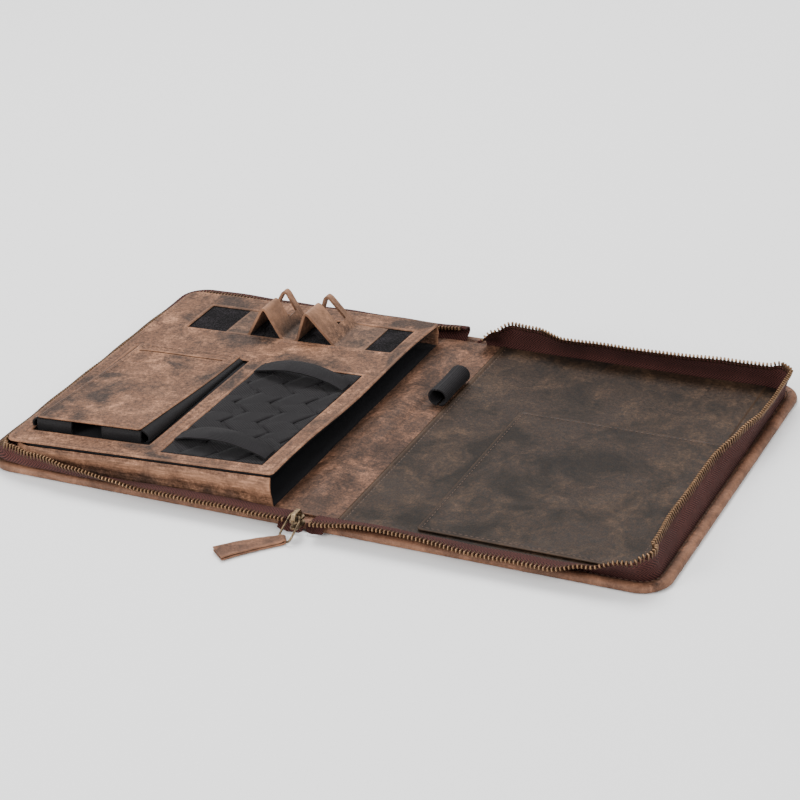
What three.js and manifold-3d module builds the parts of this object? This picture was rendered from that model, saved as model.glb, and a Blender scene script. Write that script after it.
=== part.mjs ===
// A zip-round leather document case, lying open on a table.
// Millimetres, +Z up. X runs across the open case, Y along the spine away from the viewer.
// The origin is the middle of the cover's underside, on the table.

import * as THREE from 'three';
import { mergeVertices } from 'three/addons/utils/BufferGeometryUtils.js';
import Module from 'manifold-3d';

const wasm = await Module();
wasm.setup();

// Driving dimensions

const CLEARANCE = 0.3; // left between two pieces that touch on the real case

const LEATHER = { panel: 1.6, thin: 1.3, cloth: 0.9, tape: 1.2 }; // thickness of each sheet

// Widths that make up the organiser panel, from the outer edge to the spine
const ACROSS = { outerFrame: 10.4, cardWindow: 84, middleBar: 11.6, elasticWindow: 69, spineFrame: 11.9 };
// Lengths that make up the organiser panel, from the near edge to the far edge
const ALONG = { nearFrame: 9.6, elasticWindow: 128, crossBar: 36.3, loopWindow: 35.2, farFrame: 17.3 };
const PANEL = { outerCorner: 8, spineCorner: 3, windowCorner: 1.5, height: 26, edgeWave: 1.1, waveReach: 26 };
// Height of the panel's four corners, as shares of PANEL.height
const PANEL_CORNERS = { nearOuter: 0.62, nearSpine: 1, farOuter: 0.6, farSpine: 0.73 };

// Cover: how far it reaches past the organiser panel, and its section
const SPINE_HALF = 21.5;
const ROOM = { outer: 9.2, near: 10.6, far: 17 };
const COVER = { board: 3, rim: 4.7, rimWidth: 7.2, corner: 18 };
// The turned leather rim: shares of its width inwards and of its height upwards
const RIM_SECTION = [
  { inward: 0.42, upward: 0 },
  { inward: 0.14, upward: 0.12 },
  { inward: 0, upward: 0.47 },
  { inward: 0.11, upward: 0.83 },
  { inward: 0.39, upward: 1 },
  { inward: 0.72, upward: 0.93 },
];

const ZIP = { width: 15.5, baseInset: 8, railGap: 0.7, railWidth: 4.2, railThickness: 2.4 };
// Shares of the tape's width that its foot, middle and top parts take
const TAPE_PARTS = { foot: 0.3, middle: 0.3, top: 0.4 };
// Lean of each part of the tape in degrees, outwards positive, by side and share of that side's length.
// Each side runs on from the last: near side from the spine, corner, outer side, corner, far side.
// The left tape is folded down beside the full sleeve; the right one stands round its empty half.
const LEFT_LEAN = [
  { side: 'near', share: 0, foot: 21, middle: 73, top: 86 },
  { side: 'near', share: 0.32, foot: 20, middle: 71, top: 85 },
  { side: 'near', share: 0.48, foot: 22, middle: 79, top: 75 },
  { side: 'near', share: 0.6, foot: 35, middle: 89, top: 51 },
  { side: 'near', share: 0.75, foot: 45, middle: 87, top: 29 },
  { side: 'near', share: 0.9, foot: 47, middle: 81, top: 2 },
  { side: 'near', share: 1, foot: 45, middle: 71, top: -18 },
  { side: 'nearCorner', share: 0.25, foot: 42, middle: 66, top: -44 },
  { side: 'nearCorner', share: 0.5, foot: 46, middle: 84, top: -63 },
  { side: 'nearCorner', share: 0.9, foot: 39, middle: 101, top: -62 },
  { side: 'outer', share: 0.12, foot: 35, middle: 104, top: -62 },
  { side: 'outer', share: 0.5, foot: 34, middle: 104, top: -60 },
  { side: 'outer', share: 0.8, foot: 36, middle: 101, top: -62 },
  { side: 'farCorner', share: 0, foot: 50, middle: 84, top: -80 },
  { side: 'far', share: 0.02, foot: 58, middle: 79, top: -82 },
  { side: 'far', share: 0.6, foot: 58, middle: 79, top: -82 },
  { side: 'far', share: 0.9, foot: 55, middle: 80, top: -81 },
  { side: 'far', share: 1, foot: 46, middle: 74, top: -78 },
];
const RIGHT_LEAN = [
  { side: 'near', share: 0, foot: 21, middle: 73, top: 86 },
  { side: 'near', share: 0.15, foot: 17, middle: 61, top: 72 },
  { side: 'near', share: 0.3, foot: 17, middle: 60, top: 71 },
  { side: 'near', share: 0.55, foot: 20, middle: 69, top: 82 },
  { side: 'near', share: 0.76, foot: 20, middle: 70, top: 84 },
  { side: 'near', share: 0.88, foot: 15, middle: 53, top: 64 },
  { side: 'near', share: 0.98, foot: 9, middle: 32, top: 38 },
  { side: 'nearCorner', share: 0.3, foot: 4, middle: 14, top: 17 },
  { side: 'nearCorner', share: 0.75, foot: 0, middle: 2, top: 3 },
  { side: 'outer', share: 0.02, foot: -4, middle: -13, top: -15 },
  { side: 'outer', share: 0.15, foot: -6, middle: -19, top: -22 },
  { side: 'outer', share: 0.45, foot: -6, middle: -18, top: -21 },
  { side: 'outer', share: 0.62, foot: 0, middle: 0, top: 0 },
  { side: 'outer', share: 0.75, foot: 4, middle: 15, top: 18 },
  { side: 'outer', share: 0.9, foot: 5, middle: 17, top: 20 },
  { side: 'farCorner', share: 0.5, foot: 0, middle: 0, top: 0 },
  { side: 'farCorner', share: 0.95, foot: -5, middle: -16, top: -19 },
  { side: 'far', share: 0.15, foot: -6, middle: -21, top: -25 },
  { side: 'far', share: 0.4, foot: -8, middle: -27, top: -32 },
  { side: 'far', share: 0.7, foot: -8, middle: -29, top: -35 },
  { side: 'far', share: 0.82, foot: -3, middle: -10, top: -12 },
  { side: 'far', share: 0.9, foot: -1, middle: -5, top: -6 },
  { side: 'far', share: 0.95, foot: -10, middle: -36, top: -42 },
  { side: 'far', share: 1, foot: -19, middle: -65, top: -78 },
];
const SIDE_STEPS = { near: 14, nearCorner: 6, outer: 13, farCorner: 6, far: 20 };

// The loose tape ends that hang below the slider, from and to measured across from its middle
const TAILS = [
  { name: 'tape_tail_left', from: -15, to: 1.2, reach: 4.2 },
  { name: 'tape_tail_right', from: 2.4, to: 13.5, reach: 2.4 },
];
// How a tail hangs: shares of its reach outwards and of its height upwards
const TAIL_SAG = [
  { out: 1, up: 0 },
  { out: 0.8, up: 0.2 },
  { out: 0.45, up: 0.5 },
  { out: 0.12, up: 0.8 },
  { out: 0, up: 1 },
];

const SLIDER = {
  fromMiddle: 2.5, room: 7.6, length: 10.5, width: 6.9, plate: 1.3, thickness: 5.2,
  bridge: 3.2, bridgeWidth: 2.6, post: 1.6,
};
const RING = { wire: 1.5, width: 10.8, neck: 10, length: 15.8, corners: 0.4, sides: 8, steps: 40 };
// The pull: heading of the ring from the slider, then the strip's own turn on the ring and its bend, in degrees
const TAB = {
  length: 38.5, ringEnd: 6, freeEnd: 13, thickness: 3.2, eye: 2.7,
  heading: 241, turn: -8, bend: 20, steps: 8,
};

// Tablet sleeve: the leather wrap that closes it on three sides bulges by these shares
const WRAP = { inset: 2.3, outerInset: 7.4, bulge: 2.6, farInset: 1.2, corner: 13 };
const WRAP_SECTION = [
  { up: 0, out: 0 },
  { up: 0.3, out: 0.45 },
  { up: 0.6, out: 1 },
  { up: 0.85, out: 0.85 },
  { up: 1, out: 0.1 },
];

const LOOP_WINDOW = { outerFrame: 27.4, spineFrame: 10 };

// Phone stand: one strap in two tents, notched so that an edge can stand across both
const STRAP = { start: 29, width: 34, thickness: 1.4, peakRound: 1.6 };
const STRAP_RUN = [
  { run: 16.4, rise: 0 },
  { run: 13.6, rise: 20.5 },
  { run: 12.5, rise: -20.5 },
  { run: 9.6, rise: 0 },
  { run: 8.4, rise: 20.5 },
  { run: 20.1, rise: -20.5 },
  { run: 21.6, rise: 0 },
];
const NOTCH = { fromNear: 18, width: 11, floor: 8 };

// Raised pocket in the card window
const CARD = { nearFrame: 15.9, length: 122, inset: 2.6, rise: 8, nearSlope: 0.26, farOverlap: 2.6 };
const CARD_SLOT = { fromFar: 10, outerMargin: 4.5, width: 62, gap: 1.7 };
const GUSSET = { thickness: 1.2, bulge: 3.2 };
const CARD_TABS = { outer: 25, spine: 28, thickness: 1.6 };

const BAND = { width: 15, thickness: 1.1, rise: 8.2, margin: 1.2, skew: 8 };
const BAND_PLACES = [
  { name: 'elastic_band_near', fromNear: 15.5 },
  { name: 'elastic_band_far', fromNear: 113 },
];

const SPINE_LINING = { wave: 3.2, crest: -8, reach: 13, folds: 2.6 };
const RIGHT_PANEL = { edge: 19 };
const TAPE_ROOM = 1.4; // between the zip tape's foot and the linings' edges
const SLIP_POCKET = { outerInset: 10.5, nearInset: 5, width: 132, length: 150 };
const PEN_LOOP = { width: 13, height: 11.5, wall: 1.2, length: 35, fromMiddle: 45.5, fromSpine: 14.5 };

// Sizes that follow from the ones above

const panelWidth = Object.values(ACROSS).reduce((sum, part) => sum + part, 0);
const panelLength = Object.values(ALONG).reduce((sum, part) => sum + part, 0);
const halfWidth = SPINE_HALF + panelWidth + ROOM.outer;
const halfLength = (ROOM.near + panelLength + ROOM.far) / 2;
const panel = {
  outer: -halfWidth + ROOM.outer,
  spine: -SPINE_HALF,
  near: -halfLength + ROOM.near,
  far: halfLength - ROOM.far,
};
const boardTop = COVER.board + CLEARANCE;
const sleeveFloor = boardTop + LEATHER.cloth;

// Materials

function finish(colour, roughness, metalness = 0) {
  return new THREE.MeshStandardMaterial({ color: colour, roughness, metalness });
}

const brownLeather = () => finish(0x6b4a38, 0.62);
const darkLeather = () => finish(0x4a3a2c, 0.66);
const blackCloth = () => finish(0x17161a, 0.88);
const zipCloth = () => finish(0x3a1d1c, 0.85);
const antiqueBrass = () => finish(0x7d6543, 0.38, 0.9);

// Ways of making a closed body

function closedBody(points, triangles) {
  const geometry = new THREE.BufferGeometry();
  geometry.setAttribute('position', new THREE.Float32BufferAttribute(points.flat(), 3));
  geometry.setIndex(triangles.flat());
  return geometry;
}

function quad(a, b, c, d) {
  return [[a, b, c], [a, c, d]];
}

// A sheet between two grids of points, lower and upper, given as rows of points
function sheetBody(lower, upper) {
  const rows = lower.length;
  const columns = lower[0].length;
  const points = [...lower.flat(), ...upper.flat()];
  const low = (row, column) => row * columns + column;
  const high = (row, column) => rows * columns + low(row, column);
  const triangles = [];
  for (let row = 0; row < rows - 1; row += 1) {
    for (let column = 0; column < columns - 1; column += 1) {
      triangles.push(...quad(high(row, column), high(row, column + 1),
        high(row + 1, column + 1), high(row + 1, column)));
      triangles.push(...quad(low(row, column), low(row + 1, column),
        low(row + 1, column + 1), low(row, column + 1)));
    }
  }
  for (let column = 0; column < columns - 1; column += 1) {
    const last = rows - 1;
    triangles.push(...quad(low(0, column), low(0, column + 1), high(0, column + 1), high(0, column)));
    triangles.push(...quad(low(last, column + 1), low(last, column), high(last, column), high(last, column + 1)));
  }
  for (let row = 0; row < rows - 1; row += 1) {
    const last = columns - 1;
    triangles.push(...quad(low(row + 1, 0), low(row, 0), high(row, 0), high(row + 1, 0)));
    triangles.push(...quad(low(row, last), low(row + 1, last), high(row + 1, last), high(row, last)));
  }
  return closedBody(points, triangles);
}

// A body swept through closed sections of equal count, capped at both ends.
// Sections turn anticlockwise as seen from ahead, looking back along the sweep.
function sweptBody(sections) {
  const count = sections[0].length;
  const triangles = [];
  for (let step = 0; step < sections.length - 1; step += 1) {
    for (let corner = 0; corner < count; corner += 1) {
      const next = (corner + 1) % count;
      triangles.push(...quad(step * count + corner, step * count + next,
        (step + 1) * count + next, (step + 1) * count + corner));
    }
  }
  const end = (sections.length - 1) * count;
  for (let corner = 0; corner < count / 2 - 1; corner += 1) {
    const across = count - 1 - corner;
    triangles.push(...quad(corner, across, across - 1, corner + 1));
    triangles.push(...quad(end + corner + 1, end + across - 1, end + across, end + corner));
  }
  return closedBody(sections.flat(), triangles);
}

// Booleans on closed bodies
function asSolid(geometry) {
  const bare = geometry.clone();
  bare.deleteAttribute('normal');
  bare.deleteAttribute('uv');
  const merged = mergeVertices(bare, 1e-4);
  return new wasm.Manifold(new wasm.Mesh({
    numProp: 3,
    vertProperties: new Float32Array(merged.attributes.position.array),
    triVerts: new Uint32Array(merged.index.array),
  }));
}

function asGeometry(solid) {
  const mesh = solid.getMesh();
  const geometry = new THREE.BufferGeometry();
  geometry.setAttribute('position', new THREE.BufferAttribute(mesh.vertProperties, 3));
  geometry.setIndex(new THREE.BufferAttribute(mesh.triVerts, 1));
  return geometry;
}

function cut(body, ...tools) {
  return asGeometry(tools.reduce((rest, tool) => rest.subtract(asSolid(tool)), asSolid(body)));
}

function join(...bodies) {
  return asGeometry(bodies.slice(1).reduce((whole, body) => whole.add(asSolid(body)), asSolid(bodies[0])));
}

function named(name, geometry, material) {
  const mesh = new THREE.Mesh(geometry, material);
  mesh.name = name;
  return mesh;
}

// Outlines

function roundedRectangle(left, right, near, far, radius) {
  const shape = new THREE.Shape();
  shape.moveTo(left + radius, near);
  shape.lineTo(right - radius, near);
  shape.absarc(right - radius, near + radius, radius, -Math.PI / 2, 0);
  shape.lineTo(right, far - radius);
  shape.absarc(right - radius, far - radius, radius, 0, Math.PI / 2);
  shape.lineTo(left + radius, far);
  shape.absarc(left + radius, far - radius, radius, Math.PI / 2, Math.PI);
  shape.lineTo(left, near + radius);
  shape.absarc(left + radius, near + radius, radius, Math.PI, 1.5 * Math.PI);
  return shape;
}

// An upright prism for cutting a window with small round corners
function windowTool(left, right, near, far, radius = PANEL.windowCorner) {
  const shape = roundedRectangle(left, right, near, far, radius);
  const tall = 4 * PANEL.height;
  const tool = new THREE.ExtrudeGeometry(shape, { depth: tall, bevelEnabled: false, curveSegments: 3 });
  return tool.translate(0, 0, -PANEL.height);
}

// How far a rounded corner of this radius draws an end back, at a distance from that end
function cornerSetback(distance, radius) {
  if (distance >= radius) return 0;
  return radius - Math.sqrt(radius * radius - (radius - distance) ** 2);
}

// Places of grid rows or columns: fine round both rounded ends, even between
function gridStops(from, to, count, radius) {
  const corner = [0, 0.12, 0.42, 1].map((share) => share * radius);
  const inner = Array.from({ length: count - 1 }, (_, step) =>
    THREE.MathUtils.lerp(from + radius, to - radius, (step + 1) / count));
  return [...corner.map((inset) => from + inset), ...inner, ...corner.reverse().map((inset) => to - inset)];
}

// A sheet over a rectangle with rounded ends, between two height functions
function surfaceSheet({ left, right, near, far, leftCorner, rightCorner, rows, columns, bottom, top }) {
  const radius = Math.max(leftCorner, rightCorner);
  const stops = gridStops(near, far, rows, radius);
  const row = (y, height) => {
    const distance = Math.min(y - near, far - y);
    const start = left + cornerSetback(distance, leftCorner);
    const end = right - cornerSetback(distance, rightCorner);
    return Array.from({ length: columns + 1 }, (_, step) => {
      const x = THREE.MathUtils.lerp(start, end, step / columns);
      return [x, y, height(x, y)];
    });
  };
  return sheetBody(stops.map((y) => row(y, bottom)), stops.map((y) => row(y, top)));
}

// Height of the organiser panel's upper side: it slopes between its corners,
// and its free edge beside the spine lifts in two long waves
function panelTop(x, y) {
  const across = (x - panel.outer) / panelWidth;
  const along = (y - panel.near) / panelLength;
  const corners = PANEL_CORNERS;
  const nearEdge = THREE.MathUtils.lerp(corners.nearOuter, corners.nearSpine, across);
  const farEdge = THREE.MathUtils.lerp(corners.farOuter, corners.farSpine, across);
  const edgeShare = Math.max(0, 1 - (panel.spine - x) / PANEL.waveReach);
  const wave = PANEL.edgeWave * edgeShare ** 2 * Math.sin(3.2 * Math.PI * along);
  return PANEL.height * THREE.MathUtils.lerp(nearEdge, farEdge, along) + wave;
}

const backingTop = (x, y) => panelTop(x, y) - LEATHER.panel - CLEARANCE;
const fieldTop = (x, y) => backingTop(x, y) + CLEARANCE + LEATHER.cloth;

// Outer cover: leather over two boards and the spine, its edge turned into a round rim

function outerCover() {
  const cornerSteps = 5;
  const ring = (inset, z) => {
    const radius = COVER.corner - inset;
    const x = halfWidth - COVER.corner;
    const y = halfLength - COVER.corner;
    const centres = [[x, -y], [x, y], [-x, y], [-x, -y]];
    return centres.flatMap(([centreX, centreY], quarter) =>
      Array.from({ length: cornerSteps + 1 }, (_, step) => {
        const angle = (quarter - 1 + step / cornerSteps) * Math.PI / 2;
        return [centreX + radius * Math.cos(angle), centreY + radius * Math.sin(angle), z];
      }));
  };
  const rings = RIM_SECTION.map(({ inward, upward }) => ring(inward * COVER.rimWidth, upward * COVER.rim));
  rings.push(ring(COVER.rimWidth, COVER.board));
  const count = rings[0].length;
  const triangles = [];
  for (let level = 0; level < rings.length - 1; level += 1) {
    for (let corner = 0; corner < count; corner += 1) {
      const next = (corner + 1) % count;
      triangles.push(...quad(level * count + corner, level * count + next,
        (level + 1) * count + next, (level + 1) * count + corner));
    }
  }
  // Both flats are ruled between points that lie across from each other
  const topStart = (rings.length - 1) * count;
  for (let corner = 0; corner < count / 2 - 1; corner += 1) {
    const right = (corner + cornerSteps + 1 + count) % count;
    const left = (cornerSteps - corner + count) % count;
    const nextRight = (right + 1) % count;
    const nextLeft = (left - 1 + count) % count;
    triangles.push(...quad(topStart + left, topStart + nextLeft, topStart + nextRight, topStart + right).map(
      (face) => face.reverse()));
    triangles.push(...quad(left, nextLeft, nextRight, right));
  }
  return named('outer_cover', closedBody(rings.flat(), triangles), brownLeather());
}

// Zip tapes: each stands along three sides of its half, from the slider to the far end of the spine

function tapePath(hand) {
  const inset = ZIP.baseInset;
  const radius = COVER.corner - inset;
  const edgeX = halfWidth - inset;
  const edgeY = halfLength - inset;
  const nearStart = SLIDER.room + hand * SLIDER.fromMiddle;
  const farStart = SLIDER.room;
  const straightX = edgeX - radius;
  const straightY = edgeY - radius;
  const arc = (centreY, from) => (share) => {
    const angle = from + share * Math.PI / 2;
    return {
      x: straightX + radius * Math.cos(angle),
      y: centreY + radius * Math.sin(angle),
      outward: [Math.cos(angle), Math.sin(angle)],
    };
  };
  const sides = {
    near: (share) => ({ x: THREE.MathUtils.lerp(nearStart, straightX, share), y: -edgeY, outward: [0, -1] }),
    nearCorner: arc(-straightY, -Math.PI / 2),
    outer: (share) => ({ x: edgeX, y: THREE.MathUtils.lerp(-straightY, straightY, share), outward: [1, 0] }),
    farCorner: arc(straightY, 0),
    far: (share) => ({ x: THREE.MathUtils.lerp(straightX, farStart, share), y: edgeY, outward: [0, 1] }),
  };
  const stations = [];
  Object.keys(SIDE_STEPS).forEach((side, order) => {
    const steps = SIDE_STEPS[side];
    for (let step = order === 0 ? 0 : 1; step <= steps; step += 1) {
      const place = sides[side](step / steps);
      stations.push({ ...place, x: hand * place.x, outward: [hand * place.outward[0], place.outward[1]],
        position: order + step / steps });
    }
  });
  return stations;
}

function leanAt(table, position) {
  const order = Object.keys(SIDE_STEPS);
  const rows = table.map((row) => ({ ...row, at: order.indexOf(row.side) + row.share }));
  const found = rows.findIndex((row) => row.at >= position);
  const after = rows[found < 0 ? rows.length - 1 : found];
  const before = rows[Math.max(0, rows.indexOf(after) - 1)];
  const share = THREE.MathUtils.smoothstep(position, before.at, after.at);
  return Object.keys(TAPE_PARTS).map((part) => THREE.MathUtils.lerp(before[part], after[part], share));
}

// The tape's section at one station: points up its width, each with the tape's angle there
function tapeSpine(station, leans) {
  const angles = leans.map((lean) => THREE.MathUtils.degToRad(lean));
  let out = 0;
  let up = boardTop;
  const points = [{ out, up, angle: 0, station }];
  Object.values(TAPE_PARTS).forEach((share, index) => {
    out += share * ZIP.width * Math.sin(angles[index]);
    up += share * ZIP.width * Math.cos(angles[index]);
    const next = angles[Math.min(index + 1, angles.length - 1)];
    points.push({ out, up, angle: (angles[index] + next) / 2, station });
  });
  return points;
}

function offsetPoint({ out, up, angle, station }, sideways, onwards = 0) {
  const distance = out + sideways * Math.cos(angle) + onwards * Math.sin(angle);
  const height = up - sideways * Math.sin(angle) + onwards * Math.cos(angle);
  return [station.x + distance * station.outward[0], station.y + distance * station.outward[1], height];
}

function zipTape(name, hand, table) {
  const half = LEATHER.tape / 2;
  const sections = tapePath(hand).map((station) => {
    const spine = tapeSpine(station, leanAt(table, station.position));
    const outer = spine.map((point) => offsetPoint(point, half));
    const inner = spine.map((point) => offsetPoint(point, -half));
    return [...outer, ...inner.reverse()];
  });
  if (hand > 0) sections.forEach((section) => section.reverse());
  return named(name, sweptBody(sections), zipCloth());
}

// The chain of teeth along the tape's upper edge, as one rail
function zipRail(name, hand, table) {
  const half = ZIP.railThickness / 2;
  const sections = tapePath(hand).map((station) => {
    const top = tapeSpine(station, leanAt(table, station.position)).pop();
    const far = ZIP.railGap + ZIP.railWidth;
    return [offsetPoint(top, half, ZIP.railGap), offsetPoint(top, half, far),
      offsetPoint(top, -half, far), offsetPoint(top, -half, ZIP.railGap)];
  });
  if (hand > 0) sections.forEach((section) => section.reverse());
  return named(name, sweptBody(sections), antiqueBrass());
}

// Where the slider holds the two rails together, at the near end of the spine
function sliderPlace() {
  const station = { x: SLIDER.fromMiddle, y: -halfLength + ZIP.baseInset, outward: [0, -1] };
  const top = tapeSpine(station, leanAt(LEFT_LEAN, 0)).pop();
  const [x, y, z] = offsetPoint(top, 0, ZIP.railGap + ZIP.railWidth / 2);
  return new THREE.Vector3(x, y, z);
}

// A strip bent along a line of points in the YZ plane, as wide as from x = left to x = right
function bentStrip(line, left, right, thickness) {
  const half = thickness / 2;
  const sides = [1, -1].map((side) => line.map(([y, z], index) => {
    const before = line[Math.max(index - 1, 0)];
    const after = line[Math.min(index + 1, line.length - 1)];
    const direction = new THREE.Vector2(after[0] - before[0], after[1] - before[1]).normalize();
    return [y - side * half * direction.y, z + side * half * direction.x];
  }));
  const grid = (side) => sides[side].map(([y, z]) => [[left, y, z], [right, y, z]]);
  return sheetBody(grid(1), grid(0));
}

function tapeTail({ name, from, to, reach }) {
  const slider = sliderPlace();
  const top = slider.z - SLIDER.thickness / 2 - CLEARANCE - LEATHER.tape / 2;
  const start = -halfLength - CLEARANCE - LEATHER.tape / 2;
  const floor = LEATHER.tape / 2 + CLEARANCE;
  const line = TAIL_SAG.map(({ out, up }) => [start - out * reach, THREE.MathUtils.lerp(floor, top, up)]);
  return named(name, bentStrip(line, slider.x + from, slider.x + to, LEATHER.tape), zipCloth());
}

// Slider: two plates on a post, with a bridge for the ring

function sliderBody() {
  const { length, width, plate, thickness, bridge, bridgeWidth, post } = SLIDER;
  const outline = new THREE.Shape([
    [-0.5, 0.3], [-0.28, 0.5], [0.28, 0.5], [0.5, 0.3], [0.34, -0.42], [0.2, -0.5], [-0.2, -0.5], [-0.34, -0.42],
  ].map(([x, y]) => new THREE.Vector2(x * width, y * length)).reverse());
  const layer = (shape, low, high) =>
    new THREE.ExtrudeGeometry(shape, { depth: high - low, bevelEnabled: false }).translate(0, 0, low);
  const middle = new THREE.BoxGeometry(post, 0.4 * length, thickness).translate(0, 0.25 * length, 0);
  const arch = new THREE.Shape();
  arch.moveTo(-0.42 * length, 0);
  arch.lineTo(-0.42 * length, 0.55 * bridge);
  arch.lineTo(-0.3 * length, bridge + plate);
  arch.lineTo(0.3 * length, bridge + plate);
  arch.lineTo(0.42 * length, 0.55 * bridge);
  arch.lineTo(0.42 * length, 0);
  const hollow = new THREE.Path();
  hollow.moveTo(-0.3 * length, 0.35 * plate);
  hollow.lineTo(0.3 * length, 0.35 * plate);
  hollow.lineTo(0.3 * length, 0.55 * bridge);
  hollow.lineTo(0.22 * length, bridge);
  hollow.lineTo(-0.22 * length, bridge);
  hollow.lineTo(-0.3 * length, 0.55 * bridge);
  arch.holes.push(hollow);
  const bridgeBody = new THREE.ExtrudeGeometry(arch, { depth: bridgeWidth, bevelEnabled: false })
    .translate(0, 0, -bridgeWidth / 2).rotateX(Math.PI / 2).rotateZ(Math.PI / 2)
    .translate(0, 0, thickness / 2 - 0.35 * plate);
  const half = thickness / 2;
  const body = join(layer(outline, -half, plate - half), layer(outline, half - plate, half), middle, bridgeBody);
  const mesh = named('slider_body', body, antiqueBrass());
  mesh.position.copy(sliderPlace());
  return mesh;
}

// Wire ring through the bridge, and the leather pull folded round its far bar

function pullGroup() {
  const slider = sliderPlace();
  const group = new THREE.Group();
  const restHeight = TAB.thickness / 2;
  const archHeight = slider.z + SLIDER.thickness / 2 + 0.5 * SLIDER.bridge;
  group.position.set(slider.x, slider.y, 0);
  group.rotation.z = THREE.MathUtils.degToRad(TAB.heading);
  const drop = archHeight - restHeight;
  const flat = Math.sqrt(RING.length ** 2 - drop ** 2);
  const ring = wireRing();
  ring.rotateY(Math.atan2(drop, flat)).translate(flat / 2, 0, archHeight - drop / 2);
  group.add(named('pull_ring', ring, antiqueBrass()));
  group.add(pullTab(flat, restHeight));
  return group;
}

// A closed loop of round wire, near to a rectangle with round corners and wider at its far bar
function wireRing() {
  const { wire, width, neck, length, corners, sides, steps } = RING;
  const ring = new THREE.TorusGeometry(1, wire / 2, sides, steps);
  const position = ring.attributes.position;
  const place = (angle) => {
    const x = Math.sign(Math.cos(angle)) * Math.abs(Math.cos(angle)) ** corners * length / 2;
    const half = THREE.MathUtils.lerp(neck, width, x / length + 0.5) / 2;
    return new THREE.Vector2(x, Math.sign(Math.sin(angle)) * Math.abs(Math.sin(angle)) ** corners * half);
  };
  for (let index = 0; index < position.count; index += 1) {
    const angle = Math.atan2(position.getY(index), position.getX(index));
    const outwards = Math.hypot(position.getX(index), position.getY(index)) - 1;
    const middle = place(angle);
    const ahead = place(angle + 0.5 * Math.PI / steps).sub(place(angle - 0.5 * Math.PI / steps)).normalize();
    position.setXY(index, middle.x + outwards * ahead.y, middle.y - outwards * ahead.x);
  }
  return ring;
}

function pullTab(start, height) {
  const profile = new THREE.Shape();
  const half = TAB.thickness / 2;
  profile.moveTo(0, -half);
  for (let step = 1; step <= TAB.steps; step += 1) profile.lineTo(step / TAB.steps * TAB.length, -half);
  for (let step = TAB.steps; step >= 0; step -= 1) profile.lineTo(step / TAB.steps * TAB.length, half);
  profile.absarc(0, 0, half, Math.PI / 2, 1.5 * Math.PI);
  const hole = new THREE.Path();
  hole.absarc(0, 0, TAB.eye / 2, 0, 2 * Math.PI, true);
  profile.holes.push(hole);
  const body = new THREE.ExtrudeGeometry(profile, { depth: 1, bevelEnabled: false, curveSegments: 5 });
  body.translate(0, 0, -0.5).rotateX(Math.PI / 2);
  // The strip widens from the ring to its free end, and curves sideways along a constant arc
  const radius = TAB.length / THREE.MathUtils.degToRad(TAB.bend);
  const position = body.attributes.position;
  for (let index = 0; index < position.count; index += 1) {
    const along = position.getX(index);
    const share = Math.max(0, along) / TAB.length;
    const across = position.getY(index) * THREE.MathUtils.lerp(TAB.ringEnd, TAB.freeEnd, Math.sqrt(share));
    const turned = Math.max(0, along) / radius;
    position.setX(index, Math.min(0, along) + (radius + across) * Math.sin(turned));
    position.setY(index, (radius + across) * Math.cos(turned) - radius);
  }
  body.rotateZ(THREE.MathUtils.degToRad(TAB.turn)).translate(start, 0, height);
  return named('pull_tab', body, brownLeather());
}

// Left half: the tablet sleeve

// The room inside the wrap, for the two black sheets that line the sleeve
function insideWrap() {
  const inward = LEATHER.thin + CLEARANCE;
  return {
    left: -halfWidth + ZIP.baseInset + WRAP.outerInset + inward,
    right: panel.spine - LEATHER.panel,
    near: -halfLength + ZIP.baseInset + WRAP.inset + inward,
    far: panel.far - WRAP.farInset - inward,
    leftCorner: WRAP.corner - inward,
    rightCorner: 2,
  };
}

function sleeveLining() {
  const body = surfaceSheet({
    ...insideWrap(),
    rows: 1,
    columns: 1,
    bottom: () => boardTop,
    top: () => sleeveFloor,
  });
  return named('sleeve_lining', body, blackCloth());
}

function sleeveWrap() {
  const left = -halfWidth + ZIP.baseInset + WRAP.outerInset;
  const near = -halfLength + ZIP.baseInset + WRAP.inset;
  const far = panel.far - WRAP.farInset;
  const right = panel.spine - LEATHER.thin;
  const radius = WRAP.corner;
  const path = [];
  const run = (count, place) => {
    for (let step = path.length === 0 ? 0 : 1; step <= count; step += 1) path.push(place(step / count));
  };
  const corner = (centreX, centreY, from) => (share) => {
    const angle = from - share * Math.PI / 2;
    const outward = [Math.cos(angle), Math.sin(angle)];
    return { x: centreX + radius * outward[0], y: centreY + radius * outward[1], outward };
  };
  const lerp = THREE.MathUtils.lerp;
  run(8, (share) => ({ x: lerp(right, left + radius, share), y: near, outward: [0, -1] }));
  run(5, corner(left + radius, near + radius, 1.5 * Math.PI));
  run(8, (share) => ({ x: left, y: lerp(near + radius, far - radius, share), outward: [-1, 0] }));
  run(5, corner(left + radius, far - radius, Math.PI));
  run(8, (share) => ({ x: lerp(left + radius, right, share), y: far, outward: [0, 1] }));
  const sections = path.map(({ x, y, outward }) => {
    const top = backingTop(x, y);
    const point = (shift) => ({ up, out }) => {
      const distance = out * WRAP.bulge - shift;
      return [x + distance * outward[0], y + distance * outward[1], lerp(boardTop, top, up)];
    };
    return [...WRAP_SECTION.map(point(0)), ...WRAP_SECTION.map(point(LEATHER.thin)).reverse()];
  });
  return named('sleeve_wrap', sweptBody(sections), brownLeather());
}

// The organiser panel over the sleeve, its black backing, and what shows in its three windows

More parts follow.
